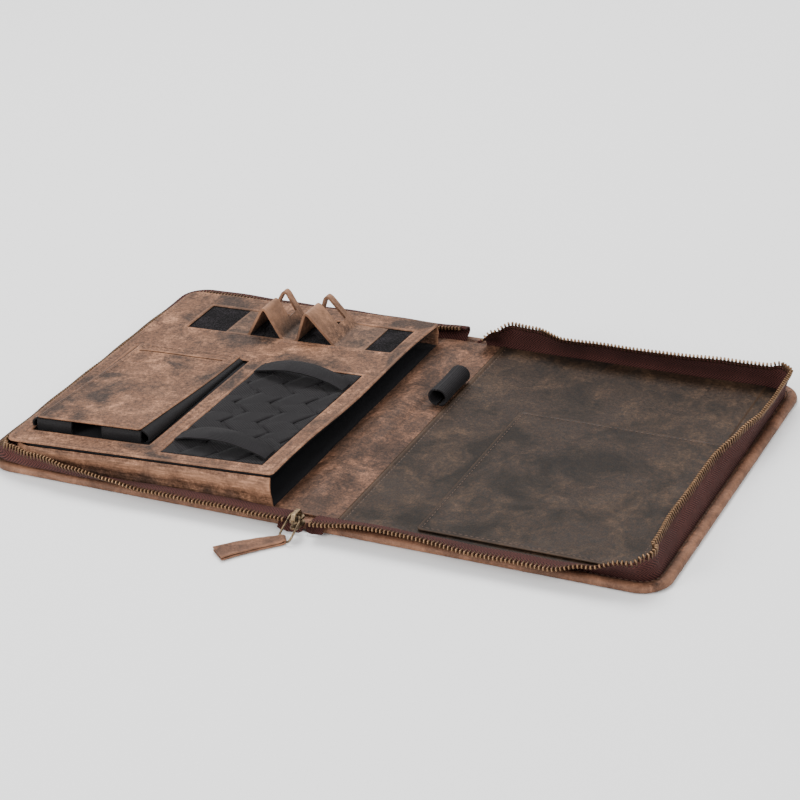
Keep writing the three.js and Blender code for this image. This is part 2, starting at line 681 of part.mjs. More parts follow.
function organiserPanel() {
  const whole = surfaceSheet({
    left: panel.outer,
    right: panel.spine,
    near: panel.near,
    far: panel.far,
    leftCorner: PANEL.outerCorner,
    rightCorner: PANEL.spineCorner,
    rows: 10,
    columns: 8,
    bottom: (x, y) => panelTop(x, y) - LEATHER.panel,
    top: panelTop,
  });
  const windows = [loopWindow(), cardWindow(), elasticWindow()];
  const tools = windows.map(({ left, right, near, far }) => windowTool(left, right, near, far));
  return named('organiser_panel', cut(whole, ...tools), brownLeather());
}

function panelBacking() {
  const body = surfaceSheet({
    ...insideWrap(),
    rows: 8,
    columns: 7,
    bottom: (x, y) => backingTop(x, y) - LEATHER.cloth,
    top: backingTop,
  });
  return named('panel_backing', body, blackCloth());
}

function loopWindow() {
  const near = panel.near + ALONG.nearFrame + ALONG.elasticWindow + ALONG.crossBar;
  return {
    left: panel.outer + LOOP_WINDOW.outerFrame,
    right: panel.spine - LOOP_WINDOW.spineFrame,
    near,
    far: near + ALONG.loopWindow,
  };
}

function cardWindow() {
  const left = panel.outer + ACROSS.outerFrame;
  const near = panel.near + CARD.nearFrame;
  return { left, right: left + ACROSS.cardWindow, near, far: near + CARD.length };
}

function elasticWindow() {
  const right = panel.spine - ACROSS.spineFrame;
  const near = panel.near + ALONG.nearFrame;
  return { left: right - ACROSS.elasticWindow, right, near, far: near + ALONG.elasticWindow };
}

// A cloth field that fills a window and lies on the backing
function windowField(name, window) {
  const body = surfaceSheet({
    left: window.left + CLEARANCE,
    right: window.right - CLEARANCE,
    near: window.near + CLEARANCE,
    far: window.far - CLEARANCE,
    leftCorner: PANEL.windowCorner,
    rightCorner: PANEL.windowCorner,
    rows: 9,
    columns: 5,
    bottom: (x, y) => backingTop(x, y) + CLEARANCE,
    top: fieldTop,
  });
  return named(name, body, blackCloth());
}

function standStrap() {
  const window = loopWindow();
  const near = window.near + CLEARANCE;
  const far = Math.min(near + STRAP.width, window.far - CLEARANCE);
  let x = window.left + STRAP.start;
  let rise = 0;
  const line = [[x, rise]];
  STRAP_RUN.forEach((leg) => {
    x += leg.run;
    rise += leg.rise;
    if (leg.rise < 0) {
      const top = line.pop();
      line.push([top[0] - STRAP.peakRound, top[1] - 0.7 * STRAP.peakRound], top,
        [top[0] + STRAP.peakRound, top[1] - 0.7 * STRAP.peakRound]);
    }
    line.push([x, rise]);
  });
  const face = (side) => line.map(([alongX, height], index) => {
    const before = line[Math.max(index - 1, 0)];
    const after = line[Math.min(index + 1, line.length - 1)];
    const into = new THREE.Vector2(alongX - before[0], height - before[1]);
    const onward = new THREE.Vector2(after[0] - alongX, after[1] - height);
    const direction = into.normalize().add(onward.normalize()).normalize();
    const mitre = STRAP.thickness * side / Math.max(0.5, direction.dot(onward.lengthSq() ? onward : into));
    return [alongX - mitre * direction.y, height + mitre * direction.x];
  });
  const grid = (side) => [near, far].map((y) => face(side).map(([alongX, height]) =>
    [alongX, y, height + fieldTop(alongX, y) + CLEARANCE]));
  const strap = sheetBody(grid(0), grid(1));
  const notchNear = near + NOTCH.fromNear;
  const notchFloor = panelTop(window.left + STRAP.start, near) + NOTCH.floor;
  const notch = windowTool(window.left, window.right, notchNear, notchNear + NOTCH.width, 1)
    .translate(0, 0, PANEL.height + notchFloor);
  return named('stand_strap', cut(strap, notch), brownLeather());
}

// Card pocket: a leather face on black gussets, raised at its near end and sewn down at its far end

const cardFace = () => {
  const window = cardWindow();
  return {
    left: window.left + CARD.inset,
    right: window.right - CARD.inset - GUSSET.bulge - GUSSET.thickness,
    near: window.near + CARD.inset,
    far: window.far + CARD.farOverlap,
  };
};

// Height of the face's underside over the panel: it falls at once from the near end,
// CARD.nearSlope into a smooth fall, and is level for the last stretch where it is sewn down
function cardUnderside(x, y) {
  const face = cardFace();
  const sewn = face.far - 2 * CARD.farOverlap;
  const along = THREE.MathUtils.clamp((y - face.near) / (sewn - face.near), 0, 1);
  const fallen = THREE.MathUtils.lerp(CARD.nearSlope, 1, along);
  const start = THREE.MathUtils.smoothstep(CARD.nearSlope, 0, 1);
  const share = (THREE.MathUtils.smoothstep(fallen, 0, 1) - start) / (1 - start);
  return panelTop(x, y) + THREE.MathUtils.lerp(CARD.rise - LEATHER.thin, CLEARANCE, share);
}

function cardPocketFace() {
  const face = cardFace();
  const body = surfaceSheet({
    ...face,
    leftCorner: 2.5,
    rightCorner: 2.5,
    rows: 10,
    columns: 4,
    bottom: cardUnderside,
    top: (x, y) => cardUnderside(x, y) + LEATHER.thin,
  });
  const slotLeft = face.left + CARD_SLOT.outerMargin;
  const slotFar = face.far - CARD_SLOT.fromFar;
  const slot = windowTool(slotLeft, slotLeft + CARD_SLOT.width, slotFar - CARD_SLOT.gap, slotFar, 0.6);
  return named('card_pocket_face', cut(body, slot), brownLeather());
}

// A gusset stands between the window's floor and the face's edge, and bulges outwards
function cardGusset(name, edge, hand) {
  const face = cardFace();
  const near = face.near + CARD_TABS.thickness + 2 * CLEARANCE;
  const far = cardWindow().far - CLEARANCE;
  const rows = 9;
  const sections = Array.from({ length: rows + 1 }, (_, step) => {
    const y = THREE.MathUtils.lerp(near, far, step / rows);
    const floor = backingTop(edge, y) + CLEARANCE;
    const roof = Math.max(cardUnderside(edge, y) - CLEARANCE, floor + 0.4);
    const swell = GUSSET.bulge * Math.min(1, (roof - floor) / CARD.rise);
    const line = [[0, 0], [0.75, 0.25], [1, 0.55], [0.7, 0.85], [0, 1]];
    const side = (inset) => line.map(([out, up]) => [
      edge + hand * (out * swell - inset), y, THREE.MathUtils.lerp(floor, roof, up)]);
    return [...side(0), ...side(GUSSET.thickness).reverse()];
  });
  if (hand > 0) sections.forEach((section) => section.reverse());
  return named(name, sweptBody(sections), blackCloth());
}

// The two folded tabs that close the pocket's near end and leave a finger gap between them
function cardTab(name, from, to) {
  const face = cardFace();
  const columns = 3;
  const line = [[0, 0], [-0.6, 0.35], [-0.5, 0.75], [0, 1]];
  const grid = (inset) => line.map(([out, up]) => Array.from({ length: columns + 1 }, (_, step) => {
    const x = THREE.MathUtils.lerp(from, to, step / columns);
    const y = face.near + CLEARANCE + out + inset;
    const floor = backingTop(x, y) + CLEARANCE;
    const roof = cardUnderside(x, face.near + CARD_TABS.thickness) - CLEARANCE;
    return [x, y, THREE.MathUtils.lerp(floor, roof, up)];
  }));
  return named(name, sheetBody(grid(CARD_TABS.thickness), grid(0)), blackCloth());
}

// Elastic bands arched across the elastic window
function elasticBand({ name, fromNear }) {
  const window = elasticWindow();
  const left = window.left + BAND.margin;
  const right = window.right - BAND.margin;
  const columns = 12;
  const grid = (lift) => [0, 1].map((edge) => Array.from({ length: columns + 1 }, (_, step) => {
    const share = step / columns;
    const arch = Math.sin(Math.PI * share);
    const x = THREE.MathUtils.lerp(left, right, share);
    const y = window.near + fromNear + BAND.width * (edge - 0.5) * (0.8 + 0.2 * arch) - BAND.skew * (share - 0.5);
    return [x, y, fieldTop(x, y) + CLEARANCE + BAND.rise * arch ** 0.8 + lift];
  }));
  return named(name, sheetBody(grid(0), grid(BAND.thickness)), blackCloth());
}

// Right half and spine

function spineLining() {
  const waveAt = (x, y) => {
    const across = Math.max(0, 1 - ((x - SPINE_LINING.crest) / SPINE_LINING.reach) ** 2);
    const along = 0.62 + 0.38 * Math.sin(SPINE_LINING.folds * Math.PI * (y / halfLength) + 0.6);
    const ends = Math.max(0, 1 - (y / (halfLength - ZIP.baseInset)) ** 8);
    return SPINE_LINING.wave * across * along * ends;
  };
  const inset = ZIP.baseInset + LEATHER.tape / 2 + TAPE_ROOM;
  const body = surfaceSheet({
    left: panel.spine - LEATHER.panel + CLEARANCE,
    right: RIGHT_PANEL.edge - CLEARANCE,
    near: -halfLength + inset,
    far: halfLength - inset,
    leftCorner: 2,
    rightCorner: 2,
    rows: 14,
    columns: 10,
    bottom: (x, y) => boardTop + waveAt(x, y),
    top: (x, y) => boardTop + LEATHER.thin + waveAt(x, y),
  });
  return named('spine_lining', body, brownLeather());
}

function rightPanel() {
  const inset = ZIP.baseInset + LEATHER.tape / 2 + TAPE_ROOM;
  const body = surfaceSheet({
    left: RIGHT_PANEL.edge,
    right: halfWidth - inset,
    near: -halfLength + inset,
    far: halfLength - inset,
    leftCorner: 2,
    rightCorner: COVER.corner - inset,
    rows: 1,
    columns: 1,
    bottom: () => boardTop,
    top: () => boardTop + LEATHER.thin,
  });
  return named('right_panel', body, darkLeather());
}

function slipPocket() {
  const inset = ZIP.baseInset + LEATHER.tape / 2;
  const right = halfWidth - inset - SLIP_POCKET.outerInset;
  const near = -halfLength + inset + SLIP_POCKET.nearInset;
  const floor = boardTop + LEATHER.thin + CLEARANCE;
  const body = surfaceSheet({
    left: right - SLIP_POCKET.width,
    right,
    near,
    far: near + SLIP_POCKET.length,
    leftCorner: 3,
    rightCorner: 3,
    rows: 1,
    columns: 1,
    bottom: () => floor,
    top: () => floor + LEATHER.thin,
  });
  return named('slip_pocket', body, darkLeather());
}

function penLoop() {
  const { width, height, wall, length, fromMiddle, fromSpine } = PEN_LOOP;
  const oval = (target, inset) => {
    const radius = height / 2 - inset;
    const shift = (width - height) / 2;
    target.moveTo(-shift, -radius);
    target.lineTo(shift, -radius);
    target.absarc(shift, 0, radius, -Math.PI / 2, Math.PI / 2);
    target.lineTo(-shift, radius);
    target.absarc(-shift, 0, radius, Math.PI / 2, 1.5 * Math.PI);
    return target;
  };
  const profile = oval(new THREE.Shape(), 0);
  profile.holes.push(oval(new THREE.Path(), wall));
  const tube = new THREE.ExtrudeGeometry(profile, { depth: length, bevelEnabled: false, curveSegments: 8 });
  const mesh = named('pen_loop', tube.rotateX(Math.PI / 2), blackCloth());
  mesh.position.set(fromSpine, fromMiddle + length / 2, boardTop + LEATHER.thin + CLEARANCE + height / 2);
  return mesh;
}

// The whole case

const documentCase = new THREE.Group();
documentCase.name = 'document_case';
documentCase.add(outerCover());
documentCase.add(zipTape('zip_tape_left', -1, LEFT_LEAN));
documentCase.add(zipTape('zip_tape_right', 1, RIGHT_LEAN));
documentCase.add(zipRail('zip_teeth_left', -1, LEFT_LEAN));
documentCase.add(zipRail('zip_teeth_right', 1, RIGHT_LEAN));
TAILS.forEach((tail) => documentCase.add(tapeTail(tail)));
documentCase.add(sliderBody());
documentCase.add(pullGroup());
documentCase.add(sleeveLining());
documentCase.add(sleeveWrap());
documentCase.add(panelBacking());
documentCase.add(organiserPanel());
documentCase.add(windowField('loop_field', loopWindow()));
documentCase.add(windowField('elastic_grid', elasticWindow()));
documentCase.add(standStrap());
documentCase.add(cardPocketFace());
documentCase.add(cardGusset('card_gusset_spine_side', cardFace().right, 1));
documentCase.add(cardGusset('card_gusset_outer_side', cardFace().left, -1));
documentCase.add(cardTab('card_tab_outer', cardFace().left, cardFace().left + CARD_TABS.outer));
documentCase.add(cardTab('card_tab_spine_side', cardFace().right - CARD_TABS.spine, cardFace().right));
BAND_PLACES.forEach((place) => documentCase.add(elasticBand(place)));
documentCase.add(spineLining());
documentCase.add(rightPanel());
documentCase.add(slipPocket());
documentCase.add(penLoop());

export default documentCase;
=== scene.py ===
import math
import random

import bmesh
import bpy
from mathutils import Matrix, Vector, noise


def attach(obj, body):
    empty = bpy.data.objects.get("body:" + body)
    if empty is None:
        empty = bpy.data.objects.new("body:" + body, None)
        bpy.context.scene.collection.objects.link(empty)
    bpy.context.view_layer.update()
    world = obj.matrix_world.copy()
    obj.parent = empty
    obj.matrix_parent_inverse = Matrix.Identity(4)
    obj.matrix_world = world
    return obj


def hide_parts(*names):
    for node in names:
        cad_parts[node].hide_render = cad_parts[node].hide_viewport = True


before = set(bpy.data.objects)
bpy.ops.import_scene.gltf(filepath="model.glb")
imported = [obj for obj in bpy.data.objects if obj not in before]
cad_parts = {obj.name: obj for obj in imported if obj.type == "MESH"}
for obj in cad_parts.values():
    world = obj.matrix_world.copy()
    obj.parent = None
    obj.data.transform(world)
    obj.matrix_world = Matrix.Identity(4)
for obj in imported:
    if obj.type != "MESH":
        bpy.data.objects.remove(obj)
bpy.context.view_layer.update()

# The camera stands low in front of the case and a little to its right, far off, so that
# the open case runs away to the upper right. A wide pale floor carries it.
azimuth, elevation, roll = math.radians(27.636), math.radians(27.203), math.radians(-4.079)
ahead = Vector((-math.sin(azimuth) * math.cos(elevation), math.cos(azimuth) * math.cos(elevation),
                -math.sin(elevation)))
level = Vector((math.cos(azimuth), math.sin(azimuth), 0))
lift = level.cross(ahead)
across = math.cos(roll) * level + math.sin(roll) * lift
upward = -math.sin(roll) * level + math.cos(roll) * lift
lens = bpy.data.cameras.new("camera")
lens.lens, lens.sensor_width, lens.sensor_height, lens.clip_start = 104.07, 36, 36, 0.05
camera = bpy.data.objects.new("camera", lens)
camera.matrix_world = Matrix.Translation((0.58184, -1.10527,
                                          0.66218)) @ Matrix((across, upward, -ahead)).transposed().to_4x4()
bpy.context.scene.collection.objects.link(camera)
bpy.context.scene.camera = camera

floor_shape = bmesh.new()
bmesh.ops.create_grid(floor_shape, x_segments=2, y_segments=2, size=6)
floor_mesh = bpy.data.meshes.new("floor")
floor_shape.to_mesh(floor_mesh)
floor_shape.free()
floor_paint = bpy.data.materials.new("pale_floor")
floor_paint.use_nodes = True
floor_paint.node_tree.nodes["Principled BSDF"].inputs["Base Color"].default_value = (0.93, 0.93, 0.93, 1)
floor_paint.node_tree.nodes["Principled BSDF"].inputs["Roughness"].default_value = 0.9
floor_paint.node_tree.nodes["Principled BSDF"].inputs["Specular IOR Level"].default_value = 0.1
floor_mesh.materials.append(floor_paint)
floor = bpy.data.objects.new("floor", floor_mesh)
floor.location.z = -0.0004
bpy.context.scene.collection.objects.link(floor)

# Three wide lamps and a bright room: one over the case from behind, one at each side in front
for name, place, size, power in (
    ("lamp_over", (-0.4, 0.8, 1.9), 1.2, 50),
    ("lamp_left", (-1.2, -1.7, 1.1), 1.0, 42),
    ("lamp_right", (1.6, -1.2, 1.4), 1.2, 26),
):
    light = bpy.data.lights.new(name, "AREA")
    light.size, light.energy = size, power
    lamp = bpy.data.objects.new(name, light)
    facing = (-Vector(place)).to_track_quat("-Z", "Y").to_matrix().to_4x4()
    lamp.matrix_world = Matrix.Translation(place) @ facing
    bpy.context.scene.collection.objects.link(lamp)
room = bpy.data.worlds.new("room")
room.use_nodes = True
room.node_tree.nodes["Background"].inputs["Color"].default_value = (1, 1, 1, 1)
room.node_tree.nodes["Background"].inputs["Strength"].default_value = 0.75
bpy.context.scene.world = room


# Outer cover: one hide over two boards and a soft spine. Its edge is turned over a cord
# into a round rim, rubbed lighter than the rest, and stitched down just inside.
def wire(tree, kind, sockets=None, **settings):
    made = tree.nodes.new("ShaderNode" + kind)
    for key, value in settings.items():
        setattr(made, key, value)
    for key, value in (sockets or {}).items():
        if isinstance(value, bpy.types.NodeSocket):
            tree.links.new(value, made.inputs[key])
        else:
            made.inputs[key].default_value = value
    return made


def blend_colour(tree, share, first, second, kind="MIX"):
    return wire(tree, "MixRGB", {"Fac": share, "Color1": first, "Color2": second},
                blend_type=kind).outputs["Color"]


def between(tree, value, low, high, to_low=0.0, to_high=1.0):
    return wire(tree, "MapRange", {"Value": value, "From Min": low, "From Max": high, "To Min": to_low,
                                   "To Max": to_high}).outputs["Result"]


def group_of(name, inputs, outputs):
    tree = bpy.data.node_groups.new(name, "ShaderNodeTree")
    for label, kind in inputs:
        tree.interface.new_socket(label, in_out="INPUT", socket_type="NodeSocket" + kind)
    for label, kind in outputs:
        tree.interface.new_socket(label, in_out="OUTPUT", socket_type="NodeSocket" + kind)
    return tree, tree.nodes.new("NodeGroupInput"), tree.nodes.new("NodeGroupOutput")


# Waxed hide: soft patches where the wax has gone grey or the tan shows through,
# a fine mottle, thin scuffs, and a pebbled grain
hide, given, made = group_of(
    "waxed_hide",
    [("Place", "Vector"), ("Body", "Color"), ("Rubbed", "Color"), ("Waxed", "Color"), ("Wear_and_highlight", "Float"),
     ("Patches", "Float")],
    [("Color", "Color"), ("Roughness", "Float"), ("Grain", "Float")],
)
place = given.outputs["Place"]
broad = wire(hide, "TexNoise",
             {"Vector": place, "Scale": 24, "Detail": 5, "Roughness": 0.62, "Distortion": 0.5})
other = wire(hide, "TexNoise",
             {"Vector": place, "Scale": 47, "Detail": 6, "Roughness": 0.66, "Distortion": 0.9})
fine = wire(hide, "TexNoise", {"Vector": place, "Scale": 430, "Detail": 5, "Roughness": 0.7})
speck = wire(hide, "TexNoise", {"Vector": place, "Scale": 1150, "Detail": 2, "Roughness": 0.6})
stretched = wire(hide, "Mapping", {"Vector": place, "Rotation": (0, 0, 0.6), "Scale": (1, 9, 1)})
scuffs = wire(hide, "TexNoise",
              {"Vector": stretched.outputs["Vector"], "Scale": 60, "Detail": 6, "Roughness": 0.75})
pebble = wire(hide, "TexVoronoi", {"Vector": place, "Scale": 820, "Randomness": 1.0}, feature="SMOOTH_F1")
pebble.inputs["Smoothness"].default_value = 0.6
grey = between(hide, broad.outputs["Fac"], 0.47, 0.62)
grey = wire(hide, "Math", {0: grey, 1: given.outputs["Patches"]}, operation="MULTIPLY").outputs["Value"]
tan = between(hide, other.outputs["Fac"], 0.47, 0.66, 0, 0.85)
coat = blend_colour(hide, tan, given.outputs["Body"], given.outputs["Rubbed"])
coat = blend_colour(hide, grey, coat, given.outputs["Waxed"])
streak = between(hide, scuffs.outputs["Fac"], 0.6, 0.78, 0, 0.45)
coat = blend_colour(hide, streak, coat, given.outputs["Rubbed"])
mottle = between(hide, fine.outputs["Fac"], 0.34, 0.66, 0.45, 1.5)
coat = blend_colour(hide, 1.0, coat,
                    wire(hide, "CombineColor", {0: mottle, 1: mottle, 2: mottle}).outputs["Color"],
                    "MULTIPLY")
dust = between(hide, speck.outputs["Fac"], 0.36, 0.64, 0.66, 1.3)
coat = blend_colour(hide, 1.0, coat,
                    wire(hide, "CombineColor", {0: dust, 1: dust, 2: dust}).outputs["Color"], "MULTIPLY")
# The wear-and-highlight mask lays the rubbed tan on: real wear, and on the sleeve wrap also a painted
# highlight.
ragged = wire(hide, "Math",
              {0: given.outputs["Wear_and_highlight"], 1: between(hide, other.outputs["Fac"], 0.35, 0.65, 0.35, 1.1)},
              operation="MULTIPLY", use_clamp=True).outputs["Value"]
coat = blend_colour(hide, ragged, coat, given.outputs["Rubbed"])
hide.links.new(coat, made.inputs["Color"])
dull = wire(hide, "Math", {0: between(hide, broad.outputs["Fac"], 0.35, 0.65, 0.5, 0.68),
                           1: between(hide, fine.outputs["Fac"], 0.3, 0.7, -0.06, 0.08)}, operation="ADD")
hide.links.new(dull.outputs["Value"], made.inputs["Roughness"])
rough = wire(hide, "Math", {0: pebble.outputs["Distance"], 1: 0.55}, operation="MULTIPLY").outputs["Value"]
rough = wire(hide, "Math", {0: rough, 1: fine.outputs["Fac"]}, operation="ADD").outputs["Value"]
hide.links.new(rough, made.inputs["Grain"])


def waxed_leather(name, body, rubbed_and_highlit, waxed, patches=0.8, grain=0.00028, drawn=0.0):
    """Leather in this colour; drawn leather is pulled over an edge and streaked along its sheet."""
    finish = bpy.data.materials.new(name)
    finish.use_nodes = True
    tree = finish.node_tree
    shader = tree.nodes["Principled BSDF"]
    spot = wire(tree, "TexCoord").outputs["Object"]
    wear_and_highlight = wire(tree, "Attribute", attribute_name="wear_and_highlight").outputs["Fac"]
    skin = wire(tree, "Group", node_tree=hide)
    tree.links.new(spot, skin.inputs["Place"])
    tree.links.new(wear_and_highlight, skin.inputs["Wear_and_highlight"])
    skin.inputs["Body"].default_value = (*body, 1)
    skin.inputs["Rubbed"].default_value = (*rubbed_and_highlit, 1)
    skin.inputs["Waxed"].default_value = (*waxed, 1)
    skin.inputs["Patches"].default_value = patches
    coat = skin.outputs["Color"]
    if drawn:
        weave = wire(tree, "UVMap", uv_map="weave").outputs["UV"]
        pulled = wire(tree, "Mapping", {"Vector": weave, "Scale": (0.45, 5, 1)})
        lines = wire(tree, "TexNoise",
                     {"Vector": pulled.outputs["Vector"], "Scale": 1.6, "Detail": 6, "Roughness": 0.7})
        tone = between(tree, lines.outputs["Fac"], 0.32, 0.68, 1 - drawn, 1 + drawn)
        coat = blend_colour(tree, 1.0, coat,
                            wire(tree, "CombineColor", {0: tone, 1: tone, 2: tone}).outputs["Color"],
                            "MULTIPLY")
    tree.links.new(coat, shader.inputs["Base Color"])
    tree.links.new(skin.outputs["Roughness"], shader.inputs["Roughness"])
    relief = wire(tree, "Bump", {"Height": skin.outputs["Grain"], "Strength": 0.65, "Distance": grain})
    tree.links.new(relief.outputs["Normal"], shader.inputs["Normal"])
    shader.inputs["Specular IOR Level"].default_value = 0.2
    return finish


brown_leather = waxed_leather("brown_leather", (0.135, 0.065, 0.037), (0.33, 0.163, 0.092),
                              (0.04, 0.026, 0.02), 0.95)
# The rim leather's body colour is darkened to stand in for the shade along the cover's rim: painted shade.
# Its rubbed tan and its patches are the hide's own.
rim_leather_with_painted_shade = waxed_leather("rim_leather_with_painted_shade", (0.085, 0.04, 0.024), (0.27, 0.13, 0.076), (0.04, 0.024, 0.018),
                            0.75)


def thread_colour(name, colour):
    finish = bpy.data.materials.new(name)
    finish.use_nodes = True
    tree = finish.node_tree
    shader = tree.nodes["Principled BSDF"]
    spot = wire(tree, "TexCoord").outputs["Object"]
    twist = wire(tree, "TexNoise", {"Vector": spot, "Scale": 900, "Detail": 2})
    tone = blend_colour(tree, twist.outputs["Fac"], (*[0.6 * part for part in colour], 1), (*colour, 1))
    tree.links.new(tone, shader.inputs["Base Color"])
    relief = wire(tree, "Bump", {"Height": twist.outputs["Fac"], "Strength": 0.4, "Distance": 0.0002})
    tree.links.new(relief.outputs["Normal"], shader.inputs["Normal"])
    shader.inputs["Roughness"].default_value = 0.75
    return finish


brown_thread = thread_colour("brown_thread", (0.1, 0.056, 0.036))


def set_down(shape, name, finish, replaces=(), thickness=0.0, side=-1.0, edge=0.0, sharp=38):
    """Turns a shape drawn in millimetres into a piece of the case."""
    bmesh.ops.scale(shape, vec=(0.001, 0.001, 0.001), verts=shape.verts)
    mesh = bpy.data.meshes.new(name)
    shape.to_mesh(mesh)
    shape.free()
    mesh.shade_smooth()
    mesh.set_sharp_from_angle(angle=math.radians(sharp))
    mesh.materials.append(finish)
    piece = bpy.data.objects.new(name, mesh)
    bpy.context.scene.collection.objects.link(piece)
    if thickness:
        wall = piece.modifiers.new("wall", "SOLIDIFY")
        wall.thickness, wall.offset, wall.use_even_offset = thickness / 1000, side, True
    if edge:
        turned = piece.modifiers.new("turned", "BEVEL")
        turned.width, turned.segments, turned.limit_method = edge / 1000, 2, "ANGLE"
        turned.angle_limit, turned.harden_normals = math.radians(sharp), True
    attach(piece, "root")
    if replaces:
        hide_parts(*replaces)
    return piece


def stitch_rows(name, rows, height, finish, pitch=3.4, length=2.5, girth=0.55):
    """Short raised stitches laid end to end along rows of points, just standing out of the leather."""
    one = bmesh.new()
    bmesh.ops.create_icosphere(one, subdivisions=1, radius=0.5)
    bmesh.ops.scale(one, vec=(length, girth, 0.62 * girth), verts=one.verts)
    stitch = bpy.data.meshes.new("stitch")
    one.to_mesh(stitch)
    one.free()
    seam = bmesh.new()
    for row in rows:
        gap = 0.0
        for start, end in zip(row, row[1:]):
            start, end = Vector(start), Vector(end)
            run = (end - start).length
            while gap < run:
                spot = start.lerp(end, gap / run)
                ahead_spot = spot + (end - start) / run
                if gap + 1 < run:
                    ahead_spot = start.lerp(end, min(1.0, (gap + 1) / run))
                low = Vector((spot.x, spot.y, height(spot.x, spot.y)))
                ahead = Vector((ahead_spot.x, ahead_spot.y, height(ahead_spot.x, ahead_spot.y)))
                way = (ahead - low).normalized()
                beside = Vector((0, 0, 1)).cross(way).normalized()
                turn = Matrix((way, beside, way.cross(beside))).transposed().to_4x4()
                count = len(seam.verts)
                seam.from_mesh(stitch)
                seam.verts.ensure_lookup_table()
                bmesh.ops.transform(seam, matrix=Matrix.Translation(low) @ turn, verts=seam.verts[count:])
                gap += pitch
            gap -= run
    bpy.data.meshes.remove(stitch)
    return set_down(seam, name, finish)


def round_corner(left, right, near, far, radius, inset=0.0, steps=8):
    """Points round a rectangle with round corners, from the near left, drawn in by an inset."""
    points = []
    for centre_x, centre_y, start in (
        (right - radius, near + radius, -90), (right - radius, far - radius, 0),
        (left + radius, far - radius, 90), (left + radius, near + radius, 180),
    ):
        for step in range(steps + 1):
            turn = math.radians(start + 90 * step / steps)
            points.append((centre_x + (radius - inset) * math.cos(turn),
                           centre_y + (radius - inset) * math.sin(turn)))
    return points + points[:1]


COVER_HALF_WIDTH, COVER_HALF_LENGTH, COVER_CORNER = 217.6, 127.0, 18.0
wear_and_highlight_layer = "wear_and_highlight"
cover = bmesh.new()
bmesh.ops.create_grid(cover, x_segments=1, y_segments=1, size=1)
bmesh.ops.scale(cover, vec=(COVER_HALF_WIDTH, COVER_HALF_LENGTH, 1), verts=cover.verts)
bmesh.ops.bevel(cover, geom=cover.verts[:], offset=COVER_CORNER, offset_type="OFFSET", affect="VERTICES",
                segments=18, profile=0.5, material=-1)
bmesh.ops.translate(cover, vec=(0, 0, 2.2), verts=cover.verts)
under = bmesh.ops.extrude_face_region(cover, geom=cover.faces[:], use_keep_orig=True)
under_face = [part for part in under["geom"] if isinstance(part, bmesh.types.BMFace)]
top_face = [part for part in cover.faces if part not in under_face and len(part.verts) > 4]
bmesh.ops.translate(cover, vec=(0, 0, -1.1),
                    verts=[part for part in under["geom"] if isinstance(part, bmesh.types.BMVert)])
bmesh.ops.recalc_face_normals(cover, faces=cover.faces)
for inset, rise in ((0.35, 0.9), (0.6, 0.75), (0.9, 0.55), (1.15, 0.3), (1.2, 0.0), (1.1, -0.25),
                    (0.8, -0.55), (0.5, -0.55), (0.6, -0.35)):
    bmesh.ops.inset_region(cover, faces=top_face, thickness=inset, depth=rise, use_even_offset=True)
for inset, drop in ((0.5, 0.55), (0.9, 0.4), (1.6, 0.15)):
    bmesh.ops.inset_region(cover, faces=under_face, thickness=inset, depth=drop, use_even_offset=True)
wear_and_highlight = cover.verts.layers.float.new(wear_and_highlight_layer)
for point in cover.verts:
    from_edge = min(COVER_HALF_WIDTH - abs(point.co.x), COVER_HALF_LENGTH - abs(point.co.y))
    point[wear_and_highlight] = 0.75 * max(0.0, 1 - abs(from_edge - 1.6) / 4.5) if point.co.z > 1 else 0.2
set_down(cover, "cover_leather", rim_leather_with_painted_shade, ["outer_cover"])
stitch_rows("rim_stitches",
            [round_corner(-COVER_HALF_WIDTH, COVER_HALF_WIDTH, -COVER_HALF_LENGTH, COVER_HALF_LENGTH,
                          COVER_CORNER, 5.9)], lambda x, y: 4.55, brown_thread)


# Zip tapes: a herringbone cotton tape sewn inside the rim of each half. The left one is folded
# down beside the full sleeve, the right one stands and sways round its empty half.
TAPE_WIDTH = 15.5
LEFT_LEANS = (
    (0.0, 21, 73, 86), (0.32, 20, 71, 85), (0.48, 22, 79, 75), (0.6, 35, 89, 51), (0.75, 45, 87, 29),
    (0.9, 47, 81, 2), (1.0, 45, 71, -18), (1.25, 42, 66, -44), (1.5, 46, 84, -63), (1.9, 39, 101, -62),
    (2.12, 35, 104, -62), (2.5, 34, 104, -60), (2.8, 36, 101, -62), (3.0, 50, 84, -80), (4.02, 58, 79, -82),
    (4.6, 58, 79, -82), (4.9, 55, 80, -81), (5.0, 46, 74, -78),
)
RIGHT_LEANS = (
    (0.0, 21, 73, 86), (0.15, 17, 61, 72), (0.3, 17, 60, 71), (0.55, 20, 69, 82), (0.76, 20, 70, 84),
    (0.88, 15, 53, 64), (0.98, 9, 32, 38), (1.3, 4, 14, 17), (1.75, 0, 2, 3), (2.02, -4, -13, -15),
    (2.15, -6, -19, -22), (2.45, -6, -18, -21), (2.62, 0, 0, 0), (2.75, 4, 15, 18), (2.9, 5, 17, 20),
    (3.5, 0, 0, 0), (3.95, -5, -16, -19), (4.15, -6, -21, -25), (4.4, -8, -27, -32), (4.7, -8, -29, -35),
    (4.82, -3, -10, -12), (4.9, -1, -5, -6), (4.95, -10, -36, -42), (5.0, -19, -65, -78),
)


FOOT_BEND, FOOT_OUTER, FOOT_EDGE = 10.0, 209.6, 119.0
FOOT_TURN_X, FOOT_TURN_Y = FOOT_OUTER - FOOT_BEND, FOOT_EDGE - FOOT_BEND
SLIDER_ROOM, SLIDER_ASIDE = 7.6, 2.5


def tape_sides(hand):
    """Lengths at the tape's foot: near side, corner, outer side, corner and far side."""
    bend = FOOT_BEND * math.pi / 2
    near, far = FOOT_TURN_X - SLIDER_ROOM - SLIDER_ASIDE * hand, FOOT_TURN_X - SLIDER_ROOM
    return (near, bend, 2 * FOOT_TURN_Y, bend, far)


